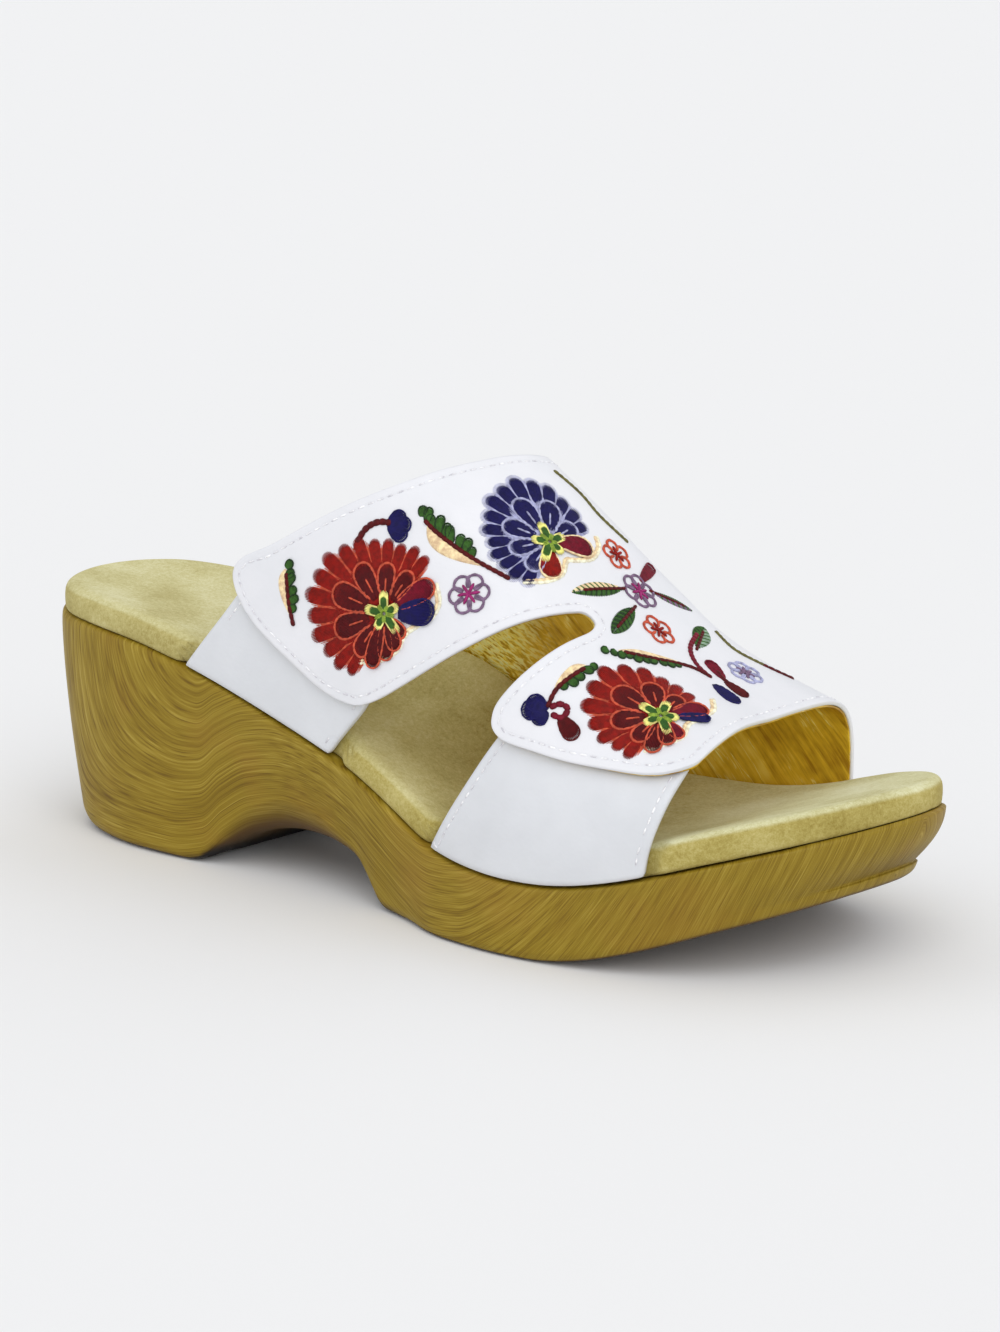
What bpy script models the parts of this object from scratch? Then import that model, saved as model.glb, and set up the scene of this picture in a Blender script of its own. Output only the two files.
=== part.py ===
"""Wedge slide for the right foot: moulded sole, footbed, upper with two tabs, two anchor straps."""
import math

import bmesh
import bpy
import numpy as np

# Lengths below are millimetres along the shoe from near the back of the heel; meshes are made in metres.
MM = 0.001

# Overall sizes
SOLE_LENGTH = 251.7
HEEL_BACK = -1.5
PIECE_GAP = 0.4
FOOTBED_THICKNESS = 8.0
FOOTBED_EDGE_INSET = 1.0
ANCHOR_THICKNESS = 2.0
UPPER_THICKNESS = 2.1

# Plan outline of the sole's top edge. Columns: x, lateral y, medial y
SOLE_OUTLINE = (
    (HEEL_BACK, 0, 0), (4.5, -19, 18.5), (14, -26.5, 26.5), (40, -32.3, 31), (70, -33.5, 29.5),
    (100, -35.5, 27.5), (125, -40, 29.5), (145, -45, 34.5), (165, -48, 40), (185, -47.5, 43.5),
    (205, -44, 44.5), (224.5, -35, 41), (238, -22.5, 33), (246.4, -8.5, 22.5), (250.2, 8, 8),
)

# Seam between sole and footbed along the lateral side. Columns: x, height
SEAM_LINE = (
    (-2, 60.2), (20, 59), (40, 57), (55, 53.3), (88, 42.7), (115, 32.8), (129, 25.9),
    (140, 20.8), (150, 18.9), (162, 18.2), (173, 18.5), (184, 20.3), (195, 23.2), (212, 29.0),
    (252, 41.4),
)

# Underside: heel block, arch, flat forefoot, rocker toe. Columns: x along the lateral edge, height
ARCH_BACK = 57.6
ARCH_FRONT = 119.8
TREAD_LINE = (
    (-2, 0), (ARCH_BACK, 0), (59.4, 1.6), (62.8, 4.2), (66.5, 6.6), (70.5, 8.6), (75, 10.2), (80.5, 11.3),
    (87, 11.9), (93, 12.0), (99, 12.4), (104.5, 12.6), (109, 12.0), (111.8, 10.4), (114.1, 7.8),
    (116, 5.1), (118, 2.2), (ARCH_FRONT, 0), (176, 0), (187, 2.2), (215, 12.5), (246, 24.4),
)

# How far the wall draws in from the top edge to the tread, the tread's edge round, which is wide under
# the arch, and how late the wall curves in on its way down. Columns: x, draw in, edge round, curve power
WALL_SHAPE = (
    (-2, 6.0, 6.0, 1.6), (8, 4.8, 5.0, 1.6), (20, 3.6, 3.2, 1.6), (36, 2.6, 2.2, 1.6), (48, 2.4, 2.2, 1.6),
    (57, 3.2, 1.8, 1.6), (64, 3.4, 2.6, 1.6), (70, 3.4, 5.4, 1.6), (75, 3.3, 7.0, 1.6), (87, 2.8, 9.8, 1.5),
    (93, 2.6, 9.4, 1.5), (100, 2.5, 7.0, 1.5), (105, 2.6, 4.3, 1.5), (110, 2.7, 2.8, 1.5),
    (120, 2.6, 2.2, 1.5), (130, 1.2, 2.0, 1.5), (145, -1.6, 1.8, 1.5), (165, -1.1, 1.8, 1.5),
    (200, 1.8, 2.2, 1.7), (230, 4.2, 2.4, 2.1), (252, 6.8, 2.4, 2.3),
)

SOLE_TOP_ROUND = 0.9
WALL_STEPS = 5

# Arch and rocker lie further forward on the medial side: millimetres for each millimetre across, measured
# from the lateral edge for the arch, and from the lateral edge at the ball for the rocker
TREAD_SKEW = 0.19
ARCH_SKEW_START = 20.0
ARCH_SKEW_FULL = 54.0
ARCH_SKEW_FADES = 122.0
ARCH_SKEW_GONE = 175.0
ARCH_SKEW_ROUNDS = 12
ROCKER_START = 140.0
ROCKER_FULL = 190.0
BALL_LATERAL_Y = -45.0

# Footbed top, with a raised arch along the medial rim. Columns: x, thickness, dish depth, arch rise
FOOTBED_SHAPE = (
    (-2, 7.6, 0, 0), (12, 7.8, 1.2, 0), (30, 8.0, 3.0, 0), (70, 8.0, 2.2, 1.5), (95, 8.1, 1.6, 8),
    (115, 8.2, 1.2, 10.5), (140, 8.3, 1.2, 5), (165, 8.4, 1.4, 1), (210, 8.4, 1.2, 0), (240, 8.0, 0.6, 0),
    (252, 6.8, 0, 0),
)
ARCH_FULL_AT = 0.85

# Small step where the tread pad ends under the toe
TOE_STEP = 0.8
TOE_STEP_HEIGHT = 0.9
TOE_STEP_START = 232.0
TOE_STEP_FULL = 246.0

# Pockets in the footbed's rim where straps go down to the sole, leaning with the straps' edges.
# Columns: side, start x, end x, start lean, end lean
STRAP_POCKETS = (
    ("lateral", 54.4, 106.0, 0.60, 0.64),
    ("lateral", 137.5, 201.6, 0.50, 0.24),
    ("medial", 57.0, 212.9, 0.40, 0.0),
)
POCKET_EASE = 1.5
POCKET_CLEARANCE = 0.6

# Rounded rim of the footbed from top to side. Columns: extra inset, depth below the top
FOOTBED_RIM = ((3.4, 0.0), (1.7, 0.42), (0.62, 1.25), (0.12, 2.6), (0.0, 4.8))
FOOTBED_FOOT_INSET = 0.2
FOOTBED_HOLLOW_BELOW = 0.3

# Form the straps lie on. Columns: x, crest y, crest z, lateral power, medial power
STRAP_FORM = (
    (50, 2, 175, 2.0, 2.0), (100, 3, 138, 2.0, 2.1), (135, 5, 112.2, 2.05, 2.3),
    (150, 6, 99, 2.1, 2.5), (165, 7, 83, 2.2, 2.9), (180, 7, 69, 2.3, 3.2), (195, 6, 60.6, 2.4, 3.5),
    (211, 5, 53.8, 2.45, 3.8), (222, 5, 50, 2.5, 3.9),
)
STRAP_STAND_IN = 2.6
STRAP_UPRIGHT = 8.0
STRAP_FOOT_GAP = 0.5
STRAP_FOOT_GIRTH = 0.999

# The tabs ride above the anchor straps; this lift fades out towards the crest. Girths as below
TAB_CLEARANCE = 0.5
TAB_LIFT = ANCHOR_THICKNESS + TAB_CLEARANCE
TAB_LIFT_FULL_TO = -0.42
TAB_LIFT_GONE_AT = -0.05

# Outlines on the form. Girth runs from -1 at the lateral sole through 0 at the crest to 1 medially.
# Columns: girth, x
REAR_EDGE = (
    (-0.78, 73.5), (-0.72, 73.5), (-0.64, 83), (-0.46, 102), (-0.28, 120.5), (-0.10, 133.5),
    (0.04, 137.5), (0.20, 132), (0.42, 111), (0.70, 80), (1.0, 60),
)
GAP_REAR_EDGE = (
    (-0.86, 108), (-0.83, 114.5), (-0.79, 120), (-0.72, 127), (-0.59, 139), (-0.45, 152),
    (-0.36, 159), (-0.29, 163.5), (0.0, 167), (1.0, 122),
)
GAP_FRONT_EDGE = (
    (-0.67, 158), (-0.61, 157), (-0.55, 159), (-0.48, 162), (-0.40, 165.3), (-0.31, 168.6),
    (0.0, 175), (1.0, 152),
)
FRONT_EDGE = ((-0.67, 205), (-0.60, 207.3), (-0.40, 208.5), (0.0, 209.8), (0.30, 211), (1.0, 211.5))
# Lower edges of the tabs. Columns: share across the tab from back to front, girth
REAR_TAB_END = ((0, -0.75), (0.06, -0.785), (0.2, -0.815), (0.55, -0.84), (0.8, -0.85), (0.94, -0.842),
                (1, -0.822))
FRONT_TAB_END = ((0, -0.648), (0.06, -0.664), (0.3, -0.657), (0.6, -0.66), (0.85, -0.67), (0.94, -0.66),
                 (1, -0.625))
GAP_END_GIRTH = -0.305
GAP_END_ROUND = 0.04

# Anchor straps under the tabs. Columns: girth, back x, front x
INSTEP_ANCHOR = ((-1.0, 56.3, 103.8), (-0.93, 62, 108.5), (-0.85, 68.5, 114.5), (-0.72, 78, 121),
                 (-0.60, 88, 126))
TOE_ANCHOR = ((-1.0, 139.6, 199.6), (-0.92, 143.6, 200.2), (-0.79, 151.5, 203), (-0.63, 160, 205),
              (-0.45, 168.5, 204.5))

# Mesh steps. Columns of spans: start x, end x, count
SOLE_SPANS = ((HEEL_BACK, 30, 9), (30, ARCH_BACK, 4), (ARCH_BACK, 82, 9), (82, 108.5, 6),
              (108.5, ARCH_FRONT, 5), (ARCH_FRONT, 152, 9), (152, 176, 3), (176, 236, 8), (236, 250.2, 7))
FOOTBED_SPANS = ((HEEL_BACK, 30, 9), (30, 52, 2), (52, 64, 9), (64, 103, 4), (103, 113, 6), (113, 136, 3),
                 (136, 144, 6), (144, 198, 6), (198, 216, 10), (216, 238, 4), (238, 250.2, 7))
ACROSS_STEPS = 5
REAR_TAB_ROWS = 11
GAP_ROWS = 6
FRONT_TAB_ROWS = 11
TAB_COLUMNS = 10
BODY_COLUMNS = 24
ANCHOR_ROWS = 9
ANCHOR_COLUMNS = 8
FORM_TURN_POINTS = 49
NORMAL_GIRTH_STEP = 0.004
NORMAL_LENGTH_STEP = 0.6

SHARP_ANGLE = 40.0

# Look of each piece in the viewport. Columns: name, red, green, blue, roughness
FINISHES = (
    ("wedge_sole", 0.30, 0.20, 0.05, 0.5),
    ("footbed", 0.56, 0.52, 0.30, 0.9),
    ("upper", 0.80, 0.80, 0.84, 0.45),
    ("instep_anchor_strap", 0.80, 0.80, 0.84, 0.45),
    ("toe_anchor_strap", 0.80, 0.80, 0.84, 0.45),
)


def clear_scene():
    for item in list(bpy.data.objects):
        bpy.data.objects.remove(item, do_unlink=True)


def curve_through(stations, values):
    """Smooth curve through the rows that makes no bumps of its own."""
    stations = np.asarray(stations, float)
    values = np.asarray(values, float)
    width = np.diff(stations)
    slope = np.diff(values) / width
    tangent = np.zeros(len(stations))
    before, after = slope[:-1], slope[1:]
    same_way = before * after > 0
    tangent[1:-1][same_way] = (2 * before * after)[same_way] / (before + after)[same_way]
    tangent[0], tangent[-1] = slope[0], slope[-1]

    def value_at(x):
        x = np.clip(np.asarray(x, float), stations[0], stations[-1])
        i = np.clip(np.searchsorted(stations, x) - 1, 0, len(width) - 1)
        s = (x - stations[i]) / width[i]
        start = (1 + 2 * s) * (1 - s) ** 2 * values[i] + s * (1 - s) ** 2 * width[i] * tangent[i]
        end = s * s * (3 - 2 * s) * values[i + 1] + s * s * (s - 1) * width[i] * tangent[i + 1]
        return start + end

    return value_at


def table_curve(table, column):
    """Curve of one column of a table over its first column."""
    return curve_through([row[0] for row in table], [row[column] for row in table])


def ease(start, end, x):
    share = np.clip((np.asarray(x, float) - start) / (end - start), 0, 1)
    return share * share * (3 - 2 * share)


def length_share(x):
    """Runs from 0 at the heel to 1 at the toe, slow at both round ends."""
    share = (np.asarray(x, float) - HEEL_BACK) / SOLE_LENGTH
    return np.arccos(np.clip(1 - 2 * share, -1, 1)) / np.pi


OUTLINE_SHARES = length_share([row[0] for row in SOLE_OUTLINE])
lateral_by_share = curve_through(OUTLINE_SHARES, [row[1] for row in SOLE_OUTLINE])
medial_by_share = curve_through(OUTLINE_SHARES, [row[2] for row in SOLE_OUTLINE])
seam_along = table_curve(SEAM_LINE, 1)
tread_along = table_curve(TREAD_LINE, 1)
draw_in_along = table_curve(WALL_SHAPE, 1)
edge_round_along = table_curve(WALL_SHAPE, 2)
wall_curve_along = table_curve(WALL_SHAPE, 3)
footbed_thickness_along = table_curve(FOOTBED_SHAPE, 1)
footbed_dish_along = table_curve(FOOTBED_SHAPE, 2)
footbed_arch_along = table_curve(FOOTBED_SHAPE, 3)


def lateral_edge(x):
    return lateral_by_share(length_share(x))


def medial_edge(x):
    return medial_by_share(length_share(x))


def rocker_place(x, y):
    return x - TREAD_SKEW * (y - BALL_LATERAL_Y) * ease(ROCKER_START, ROCKER_FULL, x)


def arch_skew(x):
    gone = ease(ARCH_SKEW_FADES, ARCH_SKEW_GONE, x)
    return TREAD_SKEW * ease(ARCH_SKEW_START, ARCH_SKEW_FULL, x) * (1 - gone)


def arch_place(x, y):
    """Where the skewed row through a point starts on the lateral edge."""
    start = x
    for _ in range(ARCH_SKEW_ROUNDS):
        start = x - arch_skew(start) * (y - lateral_edge(start))
    return start


def straight_row_end(x):
    return x


def skewed_row_end(x):
    """Where the skewed row that starts on the lateral edge ends on the medial edge."""
    end = x
    for _ in range(ARCH_SKEW_ROUNDS):
        end = x + arch_skew(x) * (medial_edge(end) - lateral_edge(x))
    return end


def seam_height(x, y):
    return seam_along(rocker_place(x, y))


def tread_height(x, y):
    return tread_along(rocker_place(arch_place(x, y), y))


def spaced_stations(spans):
    shares = [0.0]
    for start, end, count in spans:
        shares.extend(np.linspace(length_share(start), length_share(end), count + 1)[1:])
    return HEEL_BACK + SOLE_LENGTH * (1 - np.cos(np.pi * np.array(shares))) / 2


def outline_loop(stations, row_end):
    """Points once around the plan: heel, lateral side, toe, medial side. Also the station of each."""
    inner = stations[1:-1]
    lateral = [(x, float(lateral_edge(x))) for x in stations]
    medial = [(x, float(medial_edge(x))) for x in (float(row_end(station)) for station in inner[::-1])]
    return np.array(lateral + medial), np.concatenate([stations, inner[::-1]])


def inward_directions(loop):
    along = np.roll(loop, -1, axis=0) - np.roll(loop, 1, axis=0)
    along /= np.linalg.norm(along, axis=1)[:, None]
    return np.stack([-along[:, 1], along[:, 0]], axis=1)


def add_cap(points, faces, ring, station_count, height_at, turned):
    """Closes a ring with rows that run from the lateral to the medial side."""
    total = len(ring)
    rows = []
    for i in range(1, station_count - 1):
        start, end = ring[i], ring[total - i]
        row = [start]
        for k in range(1, ACROSS_STEPS):
            share = k / ACROSS_STEPS
            spot = points[start] * (1 - share) + points[end] * share
            row.append(len(points))
            points.append(np.array([spot[0], spot[1], height_at(spot[0], spot[1], 2 * share - 1)]))
        row.append(end)
        rows.append(row)
    for k in range(ACROSS_STEPS):
        faces.append([ring[0], rows[0][k], rows[0][k + 1]][::turned])
        faces.append([ring[station_count - 1], rows[-1][k + 1], rows[-1][k]][::turned])
        for first, second in zip(rows, rows[1:]):
            faces.append([first[k], second[k], second[k + 1], first[k + 1]][::turned])


def lofted_body(stations, levels, top_height, bottom_height, row_end=straight_row_end):
    """Stacks inset copies of the outline; levels are (inset, height) functions from top to bottom."""
    loop, loop_stations = outline_loop(stations, row_end)
    inward = inward_directions(loop)
    points, faces, rings = [], [], []
    for inset_at, height_at in levels:
        ring = []
        for spot, station, direction in zip(loop, loop_stations, inward):
            place = spot + direction * inset_at(station, spot[1])
            ring.append(len(points))
            points.append(np.array([place[0], place[1], height_at(place[0], place[1], station)]))
        rings.append(ring)
    count = len(loop)
    for upper, lower in zip(rings, rings[1:]):
        for i in range(count):
            j = (i + 1) % count
            faces.append([upper[i], lower[i], lower[j], upper[j]])
    add_cap(points, faces, rings[0], len(stations), top_height, 1)
    add_cap(points, faces, rings[-1], len(stations), bottom_height, -1)
    return np.array(points), faces


def sole_levels():
    def wall_level(share):
        def inset_at(x, y):
            step = TOE_STEP * ease(TOE_STEP_START, TOE_STEP_FULL, x)
            return (draw_in_along(x) + step) * share ** wall_curve_along(x)

        def height_at(x, y, station):
            top = seam_height(x, y) - SOLE_TOP_ROUND
            low = tread_height(x, y) + edge_round_along(station) + TOE_STEP_HEIGHT
            return top + (low - top) * share

        return inset_at, height_at

    def round_level(inset_share, height_share):
        def inset_at(x, y):
            return draw_in_along(x) + edge_round_along(x) * inset_share

        def height_at(x, y, station):
            return tread_height(x, y) + edge_round_along(station) * height_share

        return inset_at, height_at

    def step_level(x, y, station):
        return tread_height(x, y) + edge_round_along(station) + TOE_STEP_HEIGHT / 2

    levels = [(lambda x, y: SOLE_TOP_ROUND, lambda x, y, station: seam_height(x, y))]
    levels += [wall_level(step / WALL_STEPS) for step in range(WALL_STEPS + 1)]
    levels.append((lambda x, y: draw_in_along(x), step_level))
    halfway = 1 - math.cos(math.pi / 4)
    levels += [round_level(halfway, halfway), round_level(1.0, 0.0)]
    return levels


def wedge_sole():
    return lofted_body(
        spaced_stations(SOLE_SPANS),
        sole_levels(),
        lambda x, y, across: seam_height(x, y),
        lambda x, y, across: tread_height(x, y),
        skewed_row_end,
    )


def rim_inset(x, y, rise):
    """Footbed rim at a height above the seam: a small reveal, deeper where a strap passes."""
    side = "lateral" if y < (lateral_edge(x) + medial_edge(x)) / 2 else "medial"
    inset = FOOTBED_EDGE_INSET
    pocket = STRAP_STAND_IN + POCKET_CLEARANCE
    for pocket_side, start, end, start_lean, end_lean in STRAP_POCKETS:
        if pocket_side == side:
            first, last = start + start_lean * rise, end + end_lean * rise
            depth = ease(first - POCKET_EASE, first, x) * (1 - ease(last, last + POCKET_EASE, x))
            inset = inset + (pocket - FOOTBED_EDGE_INSET) * depth
    return inset


def footbed_top(x, y):
    lateral, medial = lateral_edge(x), medial_edge(x)
    across = (2 * y - lateral - medial) / max(medial - lateral, 1.0)
    arch = footbed_arch_along(x) * ease(0, ARCH_FULL_AT, across)
    return seam_height(x, y) + footbed_thickness_along(x) + arch


def footbed():
    def level(extra, below_top):
        return (
            lambda x, y: rim_inset(x, y, FOOTBED_THICKNESS - below_top) + extra,
            lambda x, y, station: footbed_top(x, y) - below_top,
        )

    def foot_inset(x, y):
        return rim_inset(x, y, 0.0) + FOOTBED_FOOT_INSET

    def foot_height(x, y, station):
        return seam_height(x, y) + PIECE_GAP

    levels = [level(extra, below_top) for extra, below_top in FOOTBED_RIM]
    levels.append((foot_inset, foot_height))
    return lofted_body(
        spaced_stations(FOOTBED_SPANS),
        levels,
        lambda x, y, across: footbed_top(x, y) - footbed_dish_along(x) * (1 - across * across),
        lambda x, y, across: (
            seam_height(x, y) + PIECE_GAP + FOOTBED_HOLLOW_BELOW * (1 - across * across)
        ),
    )


FORM_CURVES = [table_curve(STRAP_FORM, column) for column in (1, 2, 3, 4)]


def form_side(x, stand_y, crest, power):
    """Half a cross-section: upright beside the footbed, then a rounded quarter up to the crest."""
    foot_z = float(seam_height(x, stand_y)) + STRAP_FOOT_GAP
    shoulder_z = foot_z + STRAP_UPRIGHT
    turn = np.linspace(0, np.pi / 2, FORM_TURN_POINTS)
    y = crest[0] + (stand_y - crest[0]) * np.cos(turn) ** (2 / power)
    z = shoulder_z + (crest[1] - shoulder_z) * np.sin(turn) ** (2 / power)
    y, z = np.append(stand_y, y), np.append(foot_z, z)
    length = np.append(0, np.cumsum(np.hypot(np.diff(y), np.diff(z))))
    return y, z, length / length[-1]


def form_point(x, girth):
    crest_y, crest_z, lateral_power, medial_power = (float(curve(x)) for curve in FORM_CURVES)
    if girth <= 0:
        stand_y, power = float(lateral_edge(x)) + STRAP_STAND_IN, lateral_power
    else:
        stand_y, power = float(medial_edge(x)) - STRAP_STAND_IN, medial_power
    y, z, share = form_side(x, stand_y, (crest_y, crest_z), power)
    rise = 1 - abs(girth)
    return np.array([x, np.interp(rise, share, y), np.interp(rise, share, z)])


def form_normal(x, girth):
    low, high = max(girth - NORMAL_GIRTH_STEP, -1.0), min(girth + NORMAL_GIRTH_STEP, 1.0)
    around = form_point(x, high) - form_point(x, low)
    along = form_point(x + NORMAL_LENGTH_STEP, girth) - form_point(x - NORMAL_LENGTH_STEP, girth)
    normal = np.cross(along, around)
    return normal / np.linalg.norm(normal)


def strap_spot(x, girth, offset):
    """A point a given distance outside the form; a strap's foot stays level with the sole's ledge."""
    spot = form_point(x, girth) + form_normal(x, girth) * offset
    if abs(girth) > STRAP_FOOT_GIRTH:
        spot[2] = float(seam_height(spot[0], spot[1])) + STRAP_FOOT_GAP
    return spot


def shell_body(inner, outer, cells):
    """Leather of even thickness: outer and inner faces joined round every free edge."""
    order = sorted({node for cell in cells for node in cell})
    outer_index = {node: i for i, node in enumerate(order)}
    inner_index = {node: i + len(order) for i, node in enumerate(order)}
    points = [outer[node] for node in order] + [inner[node] for node in order]
    faces, edges = [], {}
    for cell in cells:
        faces.append([outer_index[node] for node in cell])
        faces.append([inner_index[node] for node in reversed(cell)])
        for start, end in zip(cell, cell[1:] + cell[:1]):
            edges[(start, end)] = True
    for start, end in edges:
        if (end, start) not in edges:
            faces.append([outer_index[end], outer_index[start], inner_index[start], inner_index[end]])
    return np.array(points), faces


def close_ended(share):
    """Steps that crowd together near both ends: halfway between even and cosine spacing."""
    return (share + 0.5 - 0.5 * np.cos(np.pi * share)) / 2


def grid_cells(keep):
    """Quads of a row and column grid, counter-clockwise from outside."""
    cells = []
    for row, column in keep:
        cells.append([(row, column), (row + 1, column), (row + 1, column + 1), (row, column + 1)])
    return cells


def upper():
    rear, gap_rear = table_curve(REAR_EDGE, 1), table_curve(GAP_REAR_EDGE, 1)
    gap_front, front = table_curve(GAP_FRONT_EDGE, 1), table_curve(FRONT_EDGE, 1)
    rear_end, front_end = table_curve(REAR_TAB_END, 1), table_curve(FRONT_TAB_END, 1)
    gap_start = REAR_TAB_ROWS
    gap_stop = gap_start + GAP_ROWS
    last_row = gap_stop + FRONT_TAB_ROWS
    last_column = TAB_COLUMNS + BODY_COLUMNS
    inner, outer, keep = {}, {}, []
    for row in range(last_row + 1):
        split = GAP_END_GIRTH
        if row <= gap_start:
            share = close_ended(row / gap_start)
            low, back_line, front_line = float(rear_end(share)), rear, gap_rear
        elif row < gap_stop:
            share = (row - gap_start) / GAP_ROWS
            split += GAP_END_ROUND * np.sqrt(1 - (2 * share - 1) ** 2)
            low, back_line, front_line = split, gap_rear, gap_front
        else:
            share = close_ended((row - gap_stop) / FRONT_TAB_ROWS)
            low, back_line, front_line = float(front_end(share)), gap_front, front
        for column in range(last_column + 1):
            if column <= TAB_COLUMNS:
                girth = low + (split - low) * close_ended(column / TAB_COLUMNS)
            else:
                girth = split + (1 - split) * (column - TAB_COLUMNS) / BODY_COLUMNS
            x = float(back_line(girth)) * (1 - share) + float(front_line(girth)) * share
            lift = TAB_LIFT * (1 - float(ease(TAB_LIFT_FULL_TO, TAB_LIFT_GONE_AT, girth)))
            inner[row, column] = strap_spot(x, girth, lift)
            outer[row, column] = strap_spot(x, girth, lift + UPPER_THICKNESS)
    for row in range(last_row):
        first = TAB_COLUMNS if gap_start <= row < gap_stop else 0
        keep += [(row, column) for column in range(first, last_column)]
    return shell_body(inner, outer, grid_cells(keep))


def anchor_strap(table):
    back, front = table_curve(table, 1), table_curve(table, 2)
    inner, outer, keep = {}, {}, []
    for row in range(ANCHOR_ROWS + 1):
        for column in range(ANCHOR_COLUMNS + 1):
            share = row / ANCHOR_ROWS
            girth = table[0][0] + (table[-1][0] - table[0][0]) * column / ANCHOR_COLUMNS
            x = float(back(girth)) * (1 - share) + float(front(girth)) * share
            inner[row, column] = strap_spot(x, girth, 0.0)
            outer[row, column] = strap_spot(x, girth, ANCHOR_THICKNESS)
            if row < ANCHOR_ROWS and column < ANCHOR_COLUMNS:
                keep.append((row, column))
    return shell_body(inner, outer, grid_cells(keep))


def finish_material(name, red, green, blue, roughness):
    material = bpy.data.materials.new(name + "_finish")
    material.use_nodes = True
    shader = material.node_tree.nodes["Principled BSDF"]
    shader.inputs["Base Color"].default_value = (red, green, blue, 1.0)
    shader.inputs["Roughness"].default_value = roughness
    material.diffuse_color = (red, green, blue, 1.0)
    return material


def add_piece(name, points, faces, middle, material):
    mesh = bpy.data.meshes.new(name)
    mesh.from_pydata([tuple((p - middle) * MM) for p in points], [], faces)
    body = bmesh.new()
    body.from_mesh(mesh)
    bmesh.ops.recalc_face_normals(body, faces=body.faces)
    body.to_mesh(mesh)
    body.free()
    mesh.shade_smooth()
    mesh.set_sharp_from_angle(angle=math.radians(SHARP_ANGLE))
    mesh.materials.append(material)
    piece = bpy.data.objects.new(name, mesh)
    bpy.context.scene.collection.objects.link(piece)


def build_shoe():
    clear_scene()
    bodies = {
        "wedge_sole": wedge_sole(),
        "footbed": footbed(),
        "upper": upper(),
        "instep_anchor_strap": anchor_strap(INSTEP_ANCHOR),
        "toe_anchor_strap": anchor_strap(TOE_ANCHOR),
    }
    every_point = np.concatenate([points for points, faces in bodies.values()])
    low, high = every_point.min(axis=0), every_point.max(axis=0)
    middle = np.array([(low[0] + high[0]) / 2, (low[1] + high[1]) / 2, low[2]])
    for name, red, green, blue, roughness in FINISHES:
        points, faces = bodies[name]
        add_piece(name, points, faces, middle, finish_material(name, red, green, blue, roughness))


build_shoe()
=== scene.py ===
"""White leather wedge slide: wood-look sole, suede footbed, embroidered upper with a gold lining."""
import math

import bmesh
import bpy
import numpy as np
from mathutils import Matrix, Vector, noise
from mathutils.bvhtree import BVHTree
from mathutils.kdtree import KDTree


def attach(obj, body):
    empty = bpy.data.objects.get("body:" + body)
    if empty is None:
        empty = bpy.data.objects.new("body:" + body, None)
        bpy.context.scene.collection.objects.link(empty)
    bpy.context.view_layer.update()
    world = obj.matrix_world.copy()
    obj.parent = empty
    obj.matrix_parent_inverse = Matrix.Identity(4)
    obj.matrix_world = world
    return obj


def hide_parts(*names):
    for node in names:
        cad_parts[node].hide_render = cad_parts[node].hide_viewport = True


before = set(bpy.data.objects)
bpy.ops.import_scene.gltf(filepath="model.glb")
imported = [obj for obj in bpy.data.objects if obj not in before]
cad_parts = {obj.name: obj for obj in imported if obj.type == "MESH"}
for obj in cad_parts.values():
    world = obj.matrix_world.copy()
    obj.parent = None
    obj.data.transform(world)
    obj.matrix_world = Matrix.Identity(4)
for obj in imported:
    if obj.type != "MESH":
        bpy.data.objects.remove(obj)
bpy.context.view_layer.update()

# A millimetre in metres, and the millimetres from the back of the heel to the frame's middle
MM = 0.001
HEEL_TO_MIDDLE = 124.35

# Camera: turn, rise and roll in degrees, distance and aim in metres, lens in millimetres
CAMERA_TURN = 31.62
CAMERA_RISE = 13.68
CAMERA_ROLL = 1.0
CAMERA_AWAY = 0.8
CAMERA_AIM = Vector((0.00775, 0.0023, 0.0577))
CAMERA_LENS = 85.1
CAMERA_SEES = (0.01, 100)

# Studio: sizes in metres. Columns of the lights: name, strength, softness and turn in degrees
FLOOR_SIZE = 60
FLOOR_DROP = 0.0002
FLOOR_COLOUR = (0.84, 0.84, 0.84, 1)
SKY_COLOUR = (0.97, 0.98, 1.0, 1)
SKY_STRENGTH = 0.70
LIGHTS = (
    ("key_light", 0.95, 60, (38, 0, 38)),
    ("back_light", 0.3, 60, (-50, 0, -30)),
    ("front_light", 0.45, 50, (76, 0, 48)),
    ("heel_light", 0.3, 40, (70, 0, -60)),
)

# Tones of a finish as screen values. Columns: place in its pattern, red, green, blue
WOOD_TONES = ((0.35, 112, 86, 12), (0.45, 132, 107, 20), (0.55, 148, 124, 34), (0.66, 170, 146, 58))
LIGHT_NAP = ((0.36, 180, 171, 116), (0.50, 207, 203, 156), (0.64, 226, 225, 190))
# A darker copy of the nap, for the footbed's painted shade
SHADED_NAP = ((0.36, 140, 121, 50), (0.50, 171, 155, 83), (0.64, 195, 182, 116))
FLAT_GOLD = ((0.38, 174, 129, 12), (0.50, 229, 187, 42), (0.62, 251, 219, 96))
# A lighter copy of the gold, for painted light on the crinkled part of the lining
LIT_GOLD_PAINTED = ((0.38, 214, 174, 32), (0.50, 252, 228, 92), (0.62, 255, 246, 150))
UPPER_WHITES = ((0.35, 224, 225, 229), (0.65, 229, 229, 233))
# The straps' whites are a darker copy of the upper's, as painted shade for their sideways faces
SHADED_STRAP_WHITES = ((0.35, 212, 214, 218), (0.65, 218, 220, 224))

# Single colours as screen values
WOOD = (146, 120, 40)
WOOD_PORE = (98, 72, 14)
WARM_WOOD = (150, 108, 36)
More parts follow.
